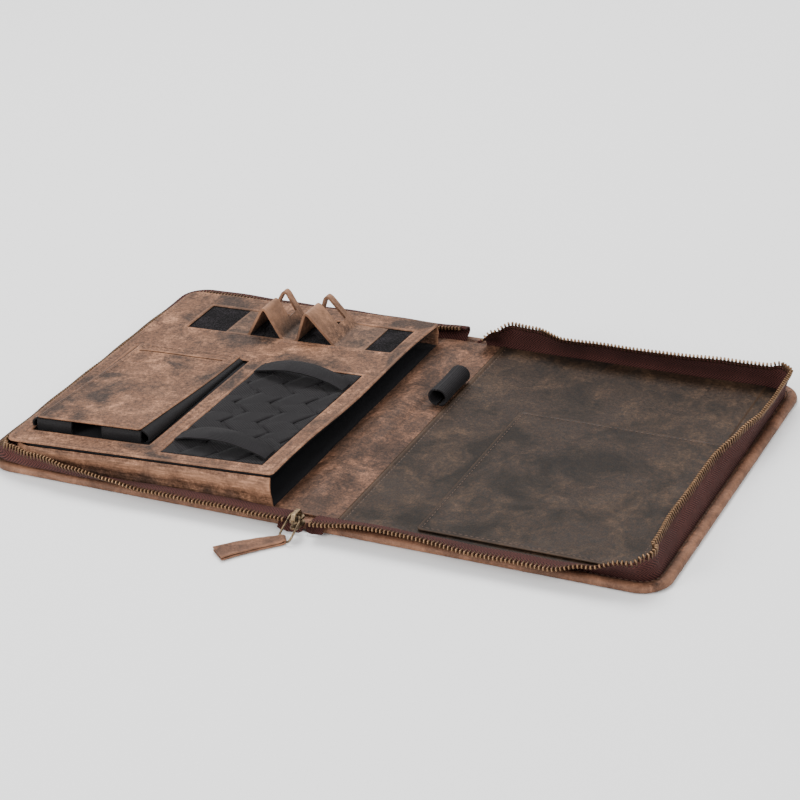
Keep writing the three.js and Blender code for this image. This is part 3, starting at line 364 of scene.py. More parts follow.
def tape_foot(hand, run):
    for order, length in enumerate(tape_sides(hand)):
        if run <= length or order == 4:
            break
        run -= length
    share = min(run / length, 1.0)
    turn = share * math.pi / 2
    if order == 0:
        spot, out = (SLIDER_ROOM + SLIDER_ASIDE * hand + share * length, -FOOT_EDGE), (0.0, -1.0)
    elif order == 1:
        out = (math.sin(turn), -math.cos(turn))
        spot = (FOOT_TURN_X + FOOT_BEND * out[0], -FOOT_TURN_Y + FOOT_BEND * out[1])
    elif order == 2:
        spot, out = (FOOT_OUTER, -FOOT_TURN_Y + share * length), (1.0, 0.0)
    elif order == 3:
        out = (math.cos(turn), math.sin(turn))
        spot = (FOOT_TURN_X + FOOT_BEND * out[0], FOOT_TURN_Y + FOOT_BEND * out[1])
    else:
        spot, out = (FOOT_TURN_X - share * length, FOOT_EDGE), (0.0, 1.0)
    return Vector((hand * spot[0], spot[1])), Vector((hand * out[0], out[1])), order + share


def leans_at(table, passed):
    later = next((row for row in table if row[0] >= passed), table[-1])
    before = table[max(0, table.index(later) - 1)]
    share = 1.0 if later[0] == before[0] else (passed - before[0]) / (later[0] - before[0])
    share = min(max(share, 0.0), 1.0)
    share = share * share * (3 - 2 * share)
    return [math.radians(a + share * (b - a)) for a, b in zip(before[1:], later[1:])]


def tape_point(hand, table, run, height, aside=0.0):
    """A point of the tape: how far on from the slider, how high up its width, and how far off its face."""
    foot, outward, passed = tape_foot(hand, run)
    low, middle, top = leans_at(table, passed)

    def turn_at(share):
        if share < 0.45:
            return low + (middle - low) * min(1.0, max(0.0, (share - 0.15) / 0.3))
        return middle + (top - middle) * min(1.0, (share - 0.45) / 0.35)

    out, up = 0.0, 3.3
    for step in range(20):
        turn = turn_at((step + 0.5) / 20 * height / TAPE_WIDTH)
        out += height / 20 * math.sin(turn)
        up += height / 20 * math.cos(turn)
    turn = turn_at(height / TAPE_WIDTH)
    sway = 0.35 * math.sin(run / 9.0) * math.sin(run / 23.0) * min(1.0, height / 8)
    out += (aside + sway) * math.cos(turn)
    up -= (aside + sway) * math.sin(turn)
    return Vector((foot.x + out * outward.x, foot.y + out * outward.y, up))


def laid_sheet(columns, rows, at, cloth=(1.0, 1.0), wear_and_highlight_at=None):
    """A sheet drawn as a plain grid and laid point by point, keeping its flat size as its weave's map."""
    sheet = bmesh.new()
    bmesh.ops.create_grid(sheet, x_segments=columns, y_segments=rows, size=0.5)
    weave = sheet.loops.layers.uv.new("weave")
    for face in sheet.faces:
        for corner in face.loops:
            corner[weave].uv = ((corner.vert.co.x + 0.5) * cloth[0] / 10,
                                (corner.vert.co.y + 0.5) * cloth[1] / 10)
    wear_and_highlight = sheet.verts.layers.float.new(wear_and_highlight_layer)
    for point in sheet.verts:
        u, v = point.co.x + 0.5, point.co.y + 0.5
        point[wear_and_highlight] = wear_and_highlight_at(u, v) if wear_and_highlight_at else 0.0
        point.co = at(u, v)
    return sheet


def woven(name, deep, light, ribs, across_ribs, slope, depth, roughness=0.85, sheen=0.02, fuzz=0.5,
          chevron=50.0):
    """Cloth whose threads follow the sheet's own map: ribs along it, crossed or slanted."""
    finish = bpy.data.materials.new(name)
    finish.use_nodes = True
    tree = finish.node_tree
    shader = tree.nodes["Principled BSDF"]
    weave = wire(tree, "UVMap", uv_map="weave").outputs["UV"]
    parts = wire(tree, "SeparateXYZ", {"Vector": weave})
    zigzag = wire(tree, "Math", {0: parts.outputs["Y"], 1: chevron}, operation="PINGPONG").outputs["Value"]
    slanted = wire(tree, "Math", {0: parts.outputs["X"], 1: slope, 2: zigzag}, operation="MULTIPLY_ADD")
    ridge = wire(tree, "Math", {0: slanted.outputs["Value"], 1: ribs}, operation="MULTIPLY")
    ridge = wire(tree, "Math", {0: ridge.outputs["Value"]}, operation="SINE")
    cross = wire(tree, "Math", {0: parts.outputs["X"], 1: across_ribs}, operation="MULTIPLY")
    cross = wire(tree, "Math", {0: cross.outputs["Value"]}, operation="SINE")
    relief_height = wire(tree, "Math", {0: cross.outputs["Value"], 1: 0.45, 2: ridge.outputs["Value"]},
                         operation="MULTIPLY_ADD")
    spot = wire(tree, "TexCoord").outputs["Object"]
    lint = wire(tree, "TexNoise", {"Vector": spot, "Scale": 700, "Detail": 4, "Roughness": 0.7})
    cloud = wire(tree, "TexNoise", {"Vector": spot, "Scale": 45, "Detail": 3})
    raised = between(tree, relief_height.outputs["Value"], -1.4, 1.4)
    mixed = wire(tree, "Math", {0: lint.outputs["Fac"], 1: fuzz, 2: raised}, operation="MULTIPLY_ADD")
    tone = between(tree, mixed.outputs["Value"], 0.25, 1.15)
    coat = blend_colour(tree, tone, (*deep, 1), (*light, 1))
    shade = between(tree, cloud.outputs["Fac"], 0.3, 0.7, 0.82, 1.15)
    coat = blend_colour(tree, 1.0, coat,
                        wire(tree, "CombineColor", {0: shade, 1: shade, 2: shade}).outputs["Color"],
                        "MULTIPLY")
    tree.links.new(coat, shader.inputs["Base Color"])
    relief = wire(tree, "Bump", {"Height": mixed.outputs["Value"], "Strength": 0.7, "Distance": depth})
    tree.links.new(relief.outputs["Normal"], shader.inputs["Normal"])
    shader.inputs["Roughness"].default_value = roughness
    shader.inputs["Specular IOR Level"].default_value = 0.12
    shader.inputs["Sheen Weight"].default_value = sheen
    shader.inputs["Sheen Roughness"].default_value = 0.45
    return finish


maroon_tape = woven("maroon_tape", (0.007, 0.003, 0.003), (0.1, 0.034, 0.028), 36.0, 170.0, 0.9, 0.0003,
                    fuzz=0.35, chevron=0.44)
CORD_HEIGHT = TAPE_WIDTH + 1.3
for hand, table, side in ((-1, LEFT_LEANS, "left"), (1, RIGHT_LEANS, "right")):
    whole = sum(tape_sides(hand))
    tape = laid_sheet(300, 13, lambda u, v: tape_point(hand, table, u * whole, v * CORD_HEIGHT),
                      (whole, CORD_HEIGHT))
    set_down(tape, f"tape_{side}", maroon_tape, [f"zip_tape_{side}"], thickness=1.0, side=0,
             edge=0.2, sharp=60)
    cord = laid_sheet(300, 6, lambda u, v: tape_point(
        hand, table, u * whole, CORD_HEIGHT + 0.95 * math.sin(2 * math.pi * v),
        0.95 * math.cos(2 * math.pi * v)), (whole, 6))
    bmesh.ops.remove_doubles(cord, verts=cord.verts, dist=0.001)
    bmesh.ops.holes_fill(cord, edges=cord.edges, sides=8)
    bmesh.ops.recalc_face_normals(cord, faces=cord.faces)
    set_down(cord, f"tape_cord_{side}", maroon_tape)


# Zip teeth: pressed brass teeth clamped over the corded edge of each tape, aged brown,
# with a painted highlight that brightens their tips.
def aged_brass(name, bright, dark, roughness, patina=1.0):
    finish = bpy.data.materials.new(name)
    finish.use_nodes = True
    tree = finish.node_tree
    shader = tree.nodes["Principled BSDF"]
    spot = wire(tree, "TexCoord").outputs["Object"]
    cloud = wire(tree, "TexNoise", {"Vector": spot, "Scale": 380, "Detail": 4, "Roughness": 0.6})
    nicks = wire(tree, "TexNoise", {"Vector": spot, "Scale": 2600, "Detail": 2})
    # The wear-and-highlight mask brightens the brass: on the slider it lightens the top, on the teeth it is
    # a painted highlight at their tips.
    rubbed_and_highlit = wire(tree, "Attribute", attribute_name="wear_and_highlight").outputs["Fac"]
    bright_share = wire(tree, "Math", {0: between(tree, cloud.outputs["Fac"], 0.35, 0.68, 0, patina), 1: rubbed_and_highlit},
               operation="ADD",
               use_clamp=True)
    tone = blend_colour(tree, bright_share.outputs["Value"], (*dark, 1), (*bright, 1))
    tree.links.new(tone, shader.inputs["Base Color"])
    dull = between(tree, nicks.outputs["Fac"], 0.3, 0.7, roughness - 0.08, roughness + 0.12)
    tree.links.new(dull, shader.inputs["Roughness"])
    relief = wire(tree, "Bump", {"Height": nicks.outputs["Fac"], "Strength": 0.3, "Distance": 0.0001})
    tree.links.new(relief.outputs["Normal"], shader.inputs["Normal"])
    shader.inputs["Metallic"].default_value = 0.85
    return finish


tooth_brass = aged_brass("tooth_brass", (0.3, 0.175, 0.095), (0.016, 0.01, 0.0065), 0.46, 0.35)
slider_brass = aged_brass("slider_brass", (0.3, 0.21, 0.12), (0.04, 0.028, 0.018), 0.34, 0.8)

one = bmesh.new()
bmesh.ops.create_cube(one, size=1)
bmesh.ops.scale(one, vec=(1.0, 4.3, 2.2), verts=one.verts)
head = [part for part in one.faces if part.normal.y > 0.9]
bmesh.ops.inset_region(one, faces=head, thickness=0.12, depth=0.25)
for point in one.verts:
    if point.co.y > 1:
        point.co.x *= 1.12
    else:
        point.co.x *= 0.86
bmesh.ops.bevel(one, geom=one.edges[:], offset=0.28, offset_type="OFFSET", affect="EDGES", segments=1,
                profile=0.5, material=-1)
# The teeth's tips are given the bright brass: a painted highlight.
tooth_tip_highlight = one.verts.layers.float.new(wear_and_highlight_layer)
for point in one.verts:
    point[tooth_tip_highlight] = max(0.0, min(0.6, 0.55 * (point.co.y - 1.2)))
tooth = bpy.data.meshes.new("tooth")
one.to_mesh(tooth)
one.free()
TOOTH_PITCH = 2.45
TOOTH_HEIGHT = TAPE_WIDTH + 2.3
for hand, table, side in ((-1, LEFT_LEANS, "left"), (1, RIGHT_LEANS, "right")):
    chain = bmesh.new()
    whole = sum(tape_sides(hand))
    # The teeth are spaced along the tape's upper edge, which is longer or shorter than its foot
    runs, passed, due = [], 0.0, 1.2
    last = tape_point(hand, table, 0.0, TOOTH_HEIGHT)
    for step in range(1, int(whole - 0.8)):
        here = tape_point(hand, table, step, TOOTH_HEIGHT)
        gained = (here - last).length
        while due < passed + gained:
            runs.append(step - 1 + (due - passed) / gained)
            due += TOOTH_PITCH
        passed, last = passed + gained, here
    for run in runs:
        spot = tape_point(hand, table, run, TOOTH_HEIGHT)
        along = (tape_point(hand, table, run + 0.6, TOOTH_HEIGHT) - spot).normalized()
        up = (tape_point(hand, table, run, TOOTH_HEIGHT + 1) - spot).normalized()
        face = along.cross(up).normalized()
        up = face.cross(along)
        count = len(chain.verts)
        chain.from_mesh(tooth)
        chain.verts.ensure_lookup_table()
        turn = Matrix((along, up, face)).transposed().to_4x4()
        bmesh.ops.transform(chain, matrix=Matrix.Translation(spot) @ turn, verts=chain.verts[count:])
    set_down(chain, f"teeth_{side}", tooth_brass, [f"zip_teeth_{side}"], sharp=30)
bpy.data.meshes.remove(tooth)


# Loose tape ends: the tapes run on past the slider and hang over the rim in two soft flaps
SLIDER_SPOT = (2.5, -134.1, 9.6)
for side, start, end, reach in (("left", -15.0, 1.2, 4.2), ("right", 2.4, 13.5, 2.4)):
    def tail_point(u, v):
        x = SLIDER_SPOT[0] + start + u * (end - start)
        rounded = 1 - 0.22 * (abs(2 * u - 1) ** 4)
        out = (v ** 1.6) * reach * rounded
        ripple = 0.35 * math.sin(x * 0.9) * v
        return Vector((x, -128.0 - out - ripple, 6.0 - 5.1 * v * rounded))
    tail = laid_sheet(14, 8, tail_point, (16, 9))
    set_down(tail, f"tail_{side}", maroon_tape, [f"tape_tail_{side}"], thickness=1.0, side=0,
             edge=0.3, sharp=60)


# Slider: cast brass plates on a post with a bridge over them. A bent wire loop hangs from the
# bridge, and a leather strip is folded round the loop's far bar and glued to itself.
def smooth_copy(node, weld=1e-5, flat=1.0):
    copy = bmesh.new()
    copy.from_mesh(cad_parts[node].data)
    bmesh.ops.remove_doubles(copy, verts=copy.verts, dist=weld)
    bmesh.ops.dissolve_limit(copy, angle_limit=math.radians(flat), verts=copy.verts, edges=copy.edges)
    bmesh.ops.scale(copy, vec=(1000, 1000, 1000), verts=copy.verts)
    for layer in list(copy.loops.layers.uv.values()):
        copy.loops.layers.uv.remove(layer)
    return copy


slider = smooth_copy("slider_body")
slider_wear = slider.verts.layers.float.new(wear_and_highlight_layer)
for point in slider.verts:
    point[slider_wear] = 0.35 if point.co.z > 13 else 0.05
set_down(slider, "zip_slider", slider_brass, ["slider_body"], edge=0.28)

loop = smooth_copy("pull_ring", flat=0.01)
bmesh.ops.join_triangles(loop, faces=loop.faces, angle_face_threshold=3.0, angle_shape_threshold=3.0)
loop_piece = set_down(loop, "pull_loop", slider_brass, ["pull_ring"], sharp=80)
rounded = loop_piece.modifiers.new("rounded", "SUBSURF")
rounded.levels = rounded.render_levels = 1

PULL_LENGTH, PULL_RING_END, PULL_FREE_END, PULL_CURVE = 38.5, 6.0, 13.0, math.radians(18)
RING_HEADING, RING_REACH = math.radians(241), 10.0
PULL_HEADING, PULL_ROUND = math.radians(214), 1.15


def pull_point(u, v):
    """The strip runs from its lower free end to the loop's bar, round it and back over itself."""
    passed = u * (2 * PULL_LENGTH + math.pi * PULL_ROUND)
    if passed < PULL_LENGTH:
        along, rise = PULL_LENGTH - passed, 0.0
    elif passed < PULL_LENGTH + math.pi * PULL_ROUND:
        turn = (passed - PULL_LENGTH) / PULL_ROUND
        along, rise = -PULL_ROUND * math.sin(turn), (1 - math.cos(turn)) / 2
    else:
        along, rise = passed - PULL_LENGTH - math.pi * PULL_ROUND, 1.0
    share = max(0.0, along) / PULL_LENGTH
    ragged = 0.3 * noise.noise(Vector((along / 3.2, 4.0 * round(v), rise * 9))) * abs(2 * v - 1)
    wide = (v - 0.5) * (PULL_RING_END + (PULL_FREE_END - PULL_RING_END) * math.sqrt(share)) + ragged
    curve = PULL_LENGTH / PULL_CURVE
    turned = max(0.0, along) / curve
    x = min(0.0, along) + (curve - wide) * math.sin(turned)
    y = curve - (curve - wide) * math.cos(turned)
    sag = 0.25 * noise.noise(Vector((along / 7, v, 2.0)))
    gap = 1.3 + 0.95 * math.exp(-max(0.0, along) / 3.0)
    ring_x = SLIDER_SPOT[0] + RING_REACH * math.cos(RING_HEADING)
    ring_y = SLIDER_SPOT[1] + RING_REACH * math.sin(RING_HEADING)
    return Vector((ring_x + x * math.cos(PULL_HEADING) - y * math.sin(PULL_HEADING),
                   ring_y + x * math.sin(PULL_HEADING) + y * math.cos(PULL_HEADING),
                   0.8 + sag * rise + gap * rise + 0.5 * share * rise))


pull = laid_sheet(120, 10, pull_point, (80, 11),
                  lambda u, v: 0.25 + 0.7 * max(0.0, abs(2 * v - 1) - 0.7) / 0.3)
set_down(pull, "leather_pull", rim_leather_with_painted_shade, ["pull_tab"], thickness=1.1, side=0, edge=0.25,
         sharp=60)


# Organiser panel: one hide with three windows. Every edge is turned under and stitched,
# which leaves a raised rounded border; the free edge beside the spine waves.
PANEL_LEFT, PANEL_RIGHT, PANEL_NEAR, PANEL_FAR = -208.4, -21.5, -116.4, 110.0
CARD_WINDOW = (-198.0, -114.0, -100.5, 21.5)
ELASTIC_WINDOW = (-102.4, -33.4, -106.8, 21.2)
LOOP_WINDOW = (-181.0, -31.5, 57.5, 92.7)


def panel_top(x, y):
    share = (x - PANEL_LEFT) / (PANEL_RIGHT - PANEL_LEFT)
    along = (y - PANEL_NEAR) / (PANEL_FAR - PANEL_NEAR)
    near, far = 0.62 + 0.38 * share, 0.6 + 0.13 * share
    edge = max(0.0, 1 - (PANEL_RIGHT - x) / 26)
    wave = 1.1 * edge ** 2 * math.sin(3.2 * math.pi * along)
    return 26 * (near + (far - near) * along) + wave


def ruled_sheet(edges_x, edges_y, windows=(), pitch=7.0, detail=(0.45, 1.0, 1.7, 2.5, 3.2, 4.2, 5.8)):
    """A flat sheet ruled finely beside each of its edges and window edges, with the windows cut out."""
    def rulings(edges):
        low, high = min(edges), max(edges)
        lines = set(edges)
        for edge in edges:
            for step in detail:
                lines.update(line for line in (edge - step, edge + step) if low < line < high)
        kept = []
        for line in sorted(lines):
            if kept and line - kept[-1] < 0.35:
                if line in edges:
                    kept[-1] = line
                continue
            kept.append(line)
        filled = [kept[0]]
        for line in kept[1:]:
            parts = max(1, math.ceil((line - filled[-1]) / pitch))
            start = filled[-1]
            filled += [start + (line - start) * part / parts for part in range(1, parts + 1)]
        return filled
    across_lines, along_lines = rulings(edges_x), rulings(edges_y)
    sheet = bmesh.new()
    columns, rows = len(across_lines) - 1, len(along_lines) - 1
    bmesh.ops.create_grid(sheet, x_segments=columns, y_segments=rows, size=0.5)
    for point in sheet.verts:
        point.co.x, point.co.y = (across_lines[round((point.co.x + 0.5) * columns)],
                                  along_lines[round((point.co.y + 0.5) * rows)])
    gone = [face for face in sheet.faces if any(
        left < face.calc_center_median().x < right and near < face.calc_center_median().y < far
        for left, right, near, far in windows)]
    bmesh.ops.delete(sheet, geom=gone, context="FACES")
    return sheet


def round_off(sheet, left, right, near, far, radii):
    """Rounds off a sheet's corners; radii run near left, near right, far right, far left."""
    corners = ((left, near, 1, 1), (right, near, -1, 1), (right, far, -1, -1), (left, far, 1, -1))
    for (corner_x, corner_y, way_x, way_y), radius in zip(corners, radii):
        for point in sheet.verts:
            a = radius - (point.co.x - corner_x) * way_x
            b = radius - (point.co.y - corner_y) * way_y
            if a > 0 and b > 0:
                shrink = max(a, b) / math.hypot(a, b)
                point.co.x = corner_x + way_x * (radius - a * shrink)
                point.co.y = corner_y + way_y * (radius - b * shrink)


def from_windows(x, y, windows):
    reach = 1e9
    for left, right, near, far in windows:
        reach = min(reach, math.hypot(max(left - x, 0, x - right), max(near - y, 0, y - far)))
    return reach


def turned_border(reach):
    """Height of a turned and stitched edge, by how far in from the edge."""
    roll_up = 0.42 * math.exp(-((reach - 1.4) / 1.1) ** 2)
    groove = -0.34 * math.exp(-((reach - 3.3) / 0.55) ** 2)
    drop = -0.5 * max(0.0, 1 - reach / 0.7) ** 2
    return roll_up + groove + drop


panel_windows = (CARD_WINDOW, ELASTIC_WINDOW, LOOP_WINDOW)


def panel_face(x, y):
    outer = min(x - PANEL_LEFT, PANEL_RIGHT - x, y - PANEL_NEAR, PANEL_FAR - y)
    reach = max(0.0, min(outer, from_windows(x, y, panel_windows)))
    soft = 0.5 * noise.noise(Vector((x / 38, y / 38,
                                     3.1))) + 0.22 * noise.noise(Vector((x / 13, y / 13, 7.7)))
    return panel_top(x, y) + turned_border(reach) + soft * min(1.0, reach / 3 + 0.3)


panel_sheet = ruled_sheet(
    [PANEL_LEFT, PANEL_RIGHT] + [edge for window in panel_windows for edge in window[:2]],
    [PANEL_NEAR, PANEL_FAR] + [edge for window in panel_windows for edge in window[2:]],
    panel_windows)
panel_wear = panel_sheet.verts.layers.float.new(wear_and_highlight_layer)
for point in panel_sheet.verts:
    x, y = point.co.x, point.co.y
    outer = min(x - PANEL_LEFT, PANEL_RIGHT - x, y - PANEL_NEAR, PANEL_FAR - y)
    reach = max(0.0, min(outer, from_windows(x, y, panel_windows)))
    point[panel_wear] = 0.4 * max(0.0, 1 - abs(reach - 0.8) / 1.8)
    point.co.z = panel_face(x, y)
round_off(panel_sheet, PANEL_LEFT, PANEL_RIGHT, PANEL_NEAR, PANEL_FAR, (8, 3, 3, 8))
set_down(panel_sheet, "organiser_leather", brown_leather, ["organiser_panel"],
         thickness=1.7, edge=0.4, sharp=50)


def around(window, out):
    left, right, near, far = window
    return [(left - out, near - out), (right + out, near - out), (right + out, far + out),
            (left - out, far + out), (left - out, near - out)]


stitch_rows(
    "panel_stitches",
    [round_corner(PANEL_LEFT, PANEL_RIGHT, PANEL_NEAR, PANEL_FAR, 8, 3.3,
                  4)] + [around(window, 3.3) for window in panel_windows],
    lambda x, y: panel_face(x, y) + 0.08, brown_thread)


# Sleeve: the tablet slides under the organiser. A leather wrap closes it on three sides and
# bulges softly; the floor and ceiling are thin black lining cloth, open beside the spine.
black_lining = woven("black_lining", (0.004, 0.004, 0.005), (0.014, 0.0135, 0.015), 90.0, 90.0, 0.0,
                     0.00012, 0.7, 0.02, 0.35)
lining_floor = laid_sheet(24, 24, lambda u, v: Vector((
    -200.6 + u * 177.5, -115.1 + v * 222.3,
    3.75 + 0.25 * noise.noise(Vector((u * 6, v * 7, 1.0))) * min(1, 8 * v * (1 - v)))), (177, 222))
round_off(lining_floor, -200.6, -23.1, -115.1, 107.2, (12, 2, 2, 12))
set_down(lining_floor, "sleeve_floor", black_lining, ["sleeve_lining"], thickness=0.8,
         side=0)
lining_roof = laid_sheet(30, 30, lambda u, v: Vector((
    -200.6 + u * 177.5, -115.1 + v * 222.3,
    panel_top(-200.6 + u * 177.5, -115.1 + v * 222.3) - 2.35)), (177, 222))
round_off(lining_roof, -200.6, -23.1, -115.1, 107.2, (12, 2, 2, 12))
set_down(lining_roof, "sleeve_ceiling", black_lining, ["panel_backing"], thickness=0.8,
         side=0)

WRAP_LEFT, WRAP_NEAR, WRAP_FAR, WRAP_END, WRAP_CORNER = -202.2, -116.7, 108.8, -22.8, 13.0
wrap_runs = (
    WRAP_END - WRAP_LEFT - WRAP_CORNER, WRAP_CORNER * math.pi / 2, WRAP_FAR - WRAP_NEAR - 2 * WRAP_CORNER,
    WRAP_CORNER * math.pi / 2, WRAP_END - WRAP_LEFT - WRAP_CORNER)


def wrap_foot(run):
    for order, length in enumerate(wrap_runs):
        if run <= length or order == 4:
            break
        run -= length
    share = min(run / length, 1.0)
    turn = share * math.pi / 2
    if order == 0:
        return (WRAP_END - run, WRAP_NEAR), (0, -1)
    if order == 1:
        out = (-math.sin(turn), -math.cos(turn))
        return (WRAP_LEFT + WRAP_CORNER * (1 + out[0]), WRAP_NEAR + WRAP_CORNER * (1 + out[1])), out
    if order == 2:
        return (WRAP_LEFT, WRAP_NEAR + WRAP_CORNER + run), (-1, 0)
    if order == 3:
        out = (-math.cos(turn), math.sin(turn))
        return (WRAP_LEFT + WRAP_CORNER * (1 + out[0]), WRAP_FAR - WRAP_CORNER * (1 - out[1])), out
    return (WRAP_LEFT + WRAP_CORNER + run, WRAP_FAR), (0, 1)


wrap_length = sum(wrap_runs)


def wrap_point(u, v):
    run = u * wrap_length
    (x, y), out = wrap_foot(run)
    top = panel_top(x, y) - 1.9
    swell = math.sin(math.pi * min(1.0, v * 1.04)) ** 0.8 * (0.35 + 0.65 * v) * 2.9
    crease = -0.55 * math.exp(-((v - 0.34) / 0.09) ** 2)
    soft = 0.5 * noise.noise(Vector((run / 26, v * 1.5, 4.4)))
    soft += 0.25 * noise.noise(Vector((run / 9, v * 3, 9.1)))
    reach = max(0.0, swell + crease + soft * math.sin(math.pi * v)) + 0.8 * v ** 5
    return Vector((x + reach * out[0], y + reach * out[1], 3.3 + v * (top - 3.3)))


# The wrap is rubbed at its two ends, and paler in a band along its upper bulge that is partly rubbing and
# partly a painted highlight.
def wrap_wear_and_highlight(u, v):
    at_end = 0.7 if min(u, 1 - u) * wrap_length < 1.5 else 0
    return 0.75 * math.exp(-((v - 0.72) / 0.2) ** 2) + at_end


wrap = laid_sheet(220, 16, wrap_point, (wrap_length, 18), wrap_wear_and_highlight)
drawn_leather = waxed_leather("drawn_leather", (0.15, 0.073, 0.043), (0.36, 0.182, 0.105),
                              (0.05, 0.032, 0.026), 0.7, drawn=0.5)
set_down(wrap, "sleeve_leather", drawn_leather, ["sleeve_wrap"], thickness=1.3, side=1,
         edge=0.4, sharp=60)

# The leather left over at the outer near corner is gathered into two small folds
for order, (x, y, z, size) in enumerate(((-201.2, -118.2, 12.2, 2.5), (-196.6, -119.0, 12.6, 2.2))):
    fold = bmesh.new()
    bmesh.ops.create_uvsphere(fold, u_segments=16, v_segments=12, radius=1)
    fold_wear = fold.verts.layers.float.new(wear_and_highlight_layer)
    for point in fold.verts:
        point[fold_wear] = 0.6
        point.co.z += 0.25 * point.co.x ** 2
    bmesh.ops.scale(fold, vec=(size * 0.75, size * 0.8, size), verts=fold.verts)
    bmesh.ops.rotate(fold, matrix=Matrix.Rotation(math.radians(18 - 30 * order), 3, "Y"), verts=fold.verts)
    bmesh.ops.translate(fold, vec=(x, y, z), verts=fold.verts)
    set_down(fold, f"gathered_corner_{order + 1}", brown_leather)


# Far window: a field of black loop pile, sewn in under the panel
def loop_pile(name, deep, light):
    finish = bpy.data.materials.new(name)
    finish.use_nodes = True
    tree = finish.node_tree
    shader = tree.nodes["Principled BSDF"]
    spot = wire(tree, "TexCoord").outputs["Object"]
    loops = wire(tree, "TexVoronoi", {"Vector": spot, "Scale": 950}, feature="F1")
    tufts = wire(tree, "TexNoise", {"Vector": spot, "Scale": 420, "Detail": 6, "Roughness": 0.75})
    cloud = wire(tree, "TexNoise", {"Vector": spot, "Scale": 60, "Detail": 3})
    pile = wire(tree, "Math", {0: tufts.outputs["Fac"], 1: loops.outputs["Distance"]}, operation="SUBTRACT")
    tone = wire(tree, "Math", {0: pile.outputs["Value"], 1: cloud.outputs["Fac"]}, operation="ADD")
    coat = blend_colour(tree, between(tree, tone.outputs["Value"], 0.35, 1.0), (*deep, 1), (*light, 1))
    tree.links.new(coat, shader.inputs["Base Color"])
    relief = wire(tree, "Bump", {"Height": pile.outputs["Value"], "Strength": 0.9, "Distance": 0.0008})
    tree.links.new(relief.outputs["Normal"], shader.inputs["Normal"])
    shader.inputs["Roughness"].default_value = 0.95
    shader.inputs["Specular IOR Level"].default_value = 0.08
    shader.inputs["Sheen Weight"].default_value = 0.02
    shader.inputs["Sheen Roughness"].default_value = 0.5
    return finish


black_pile = loop_pile("black_pile", (0.0035, 0.003, 0.0033), (0.026, 0.022, 0.025))


def window_sheet(window, columns, rows, lift_by):
    left, right, near, far = window
    return laid_sheet(columns, rows, lambda u, v: Vector((
        left + 0.4 + u * (right - left - 0.8), near + 0.4 + v * (far - near - 0.8),
        panel_top(left + u * (right - left), near + v * (far - near)) - 0.85 + lift_by(u, v))),
        (right - left, far - near))


pile = window_sheet(LOOP_WINDOW, 130, 34, lambda u, v: 0.28 * noise.noise(Vector((u * 90, v * 24, 2.0))))
set_down(pile, "loop_pile_field", black_pile, ["loop_field"], thickness=0.7)


# Phone stand: a stitched leather strap lies on the pile and rises in two tents, rounded and
# rubbed at their peaks, with a slot across both where the long edge of a phone stands.
STRAP_LEGS = ((16.4, 0), (13.6, 20.5), (12.5, -20.5), (9.6, 0), (8.4, 20.5), (20.1, -20.5), (21.6, 0))
STRAP_NEAR, STRAP_FAR, STRAP_LEFT = 57.8, 91.8, -152.0
SLOT_NEAR, SLOT_FAR, SLOT_FLOOR = 75.8, 86.8, 8.0
strap_line = [Vector((STRAP_LEFT, 0))]
for run, rise in STRAP_LEGS:
    strap_line.append(strap_line[-1] + Vector((run, rise)))


def strap_path():
    """The strap's line with its feet and peaks rounded, as close points with the share of a peak at each."""
    points = []
    for index, knot in enumerate(strap_line):
        if index in (0, len(strap_line) - 1):
            points.append((knot, 0.0))
            continue
        peak = strap_line[index - 1].y < knot.y - 1 and strap_line[index + 1].y < knot.y - 1
        radius = 5.2 if peak else 1.8
        start = knot + (strap_line[index - 1] - knot).normalized() * radius
        end = knot + (strap_line[index + 1] - knot).normalized() * radius
        for step in range(7):
            share = step / 6
            points.append(((1 - share) ** 2 * start + 2 * share * (1 - share) * knot + share ** 2 * end,
                           1.0 if peak else 0.0))
    dense = []
    for (start, first), (end, second) in zip(points, points[1:]):
        parts = max(1, math.ceil((end - start).length / 2.4))
        dense += [(start.lerp(end, part / parts), first + (second - first) * part / parts)
                  for part in range(parts)]
    return dense + [points[-1]]


strap_points = strap_path()
strap_columns = len(strap_points) - 1


def strap_point(u, v):
    (at, peak) = strap_points[round(u * strap_columns)]
    y = STRAP_NEAR + v * (STRAP_FAR - STRAP_NEAR)
    bulge = 0.5 * math.sin(math.pi * v) * (1 if at.y > 2 else 0.3)
    soft = 0.35 * noise.noise(Vector((at.x / 9, y / 11, 5.5)))
    return Vector((at.x, y, at.y + panel_top(at.x, y) - 0.4 + 0.3 * bulge + soft * 0.5 + 0.2 + 1.8 * peak))


def strap_wear(u, v):
    (at, peak) = strap_points[round(u * strap_columns)]
    rim = min(v, 1 - v) * 34
    ends = min(at.x - STRAP_LEFT, strap_line[-1].x - at.x)
    return min(1.0, 0.9 * peak + 0.4 * max(0.0, 1 - min(rim, ends) / 1.6))


strap = laid_sheet(strap_columns, 34, strap_point, (150, 34), strap_wear)
for cut_y in (SLOT_NEAR, SLOT_FAR):
    bmesh.ops.bisect_plane(strap, geom=strap.verts[:] + strap.edges[:] + strap.faces[:],
                           plane_co=(0, cut_y, 0), plane_no=(0, 1, 0), dist=0.01)
slot_floor = panel_top(STRAP_LEFT, STRAP_NEAR) + SLOT_FLOOR
middle = [face for face in strap.faces if SLOT_NEAR < face.calc_center_median().y < SLOT_FAR]
bmesh.ops.bisect_plane(strap,
                       geom=list({part for face in middle for part in (*face.verts, *face.edges, face)}),
                       plane_co=(0, 0, slot_floor), plane_no=(0, 0, 1), dist=0.01)
gone = [face for face in strap.faces if SLOT_NEAR < face.calc_center_median().y < SLOT_FAR
        and face.calc_center_median().z > slot_floor]
bmesh.ops.delete(strap, geom=gone, context="FACES")
strap_leather = waxed_leather("strap_leather", (0.09, 0.05, 0.033), (0.3, 0.155, 0.09),
                              (0.04, 0.028, 0.022), 0.9)
set_down(strap, "stand_leather", strap_leather, ["stand_strap"], thickness=1.6, side=-1,
         edge=0.35, sharp=60)


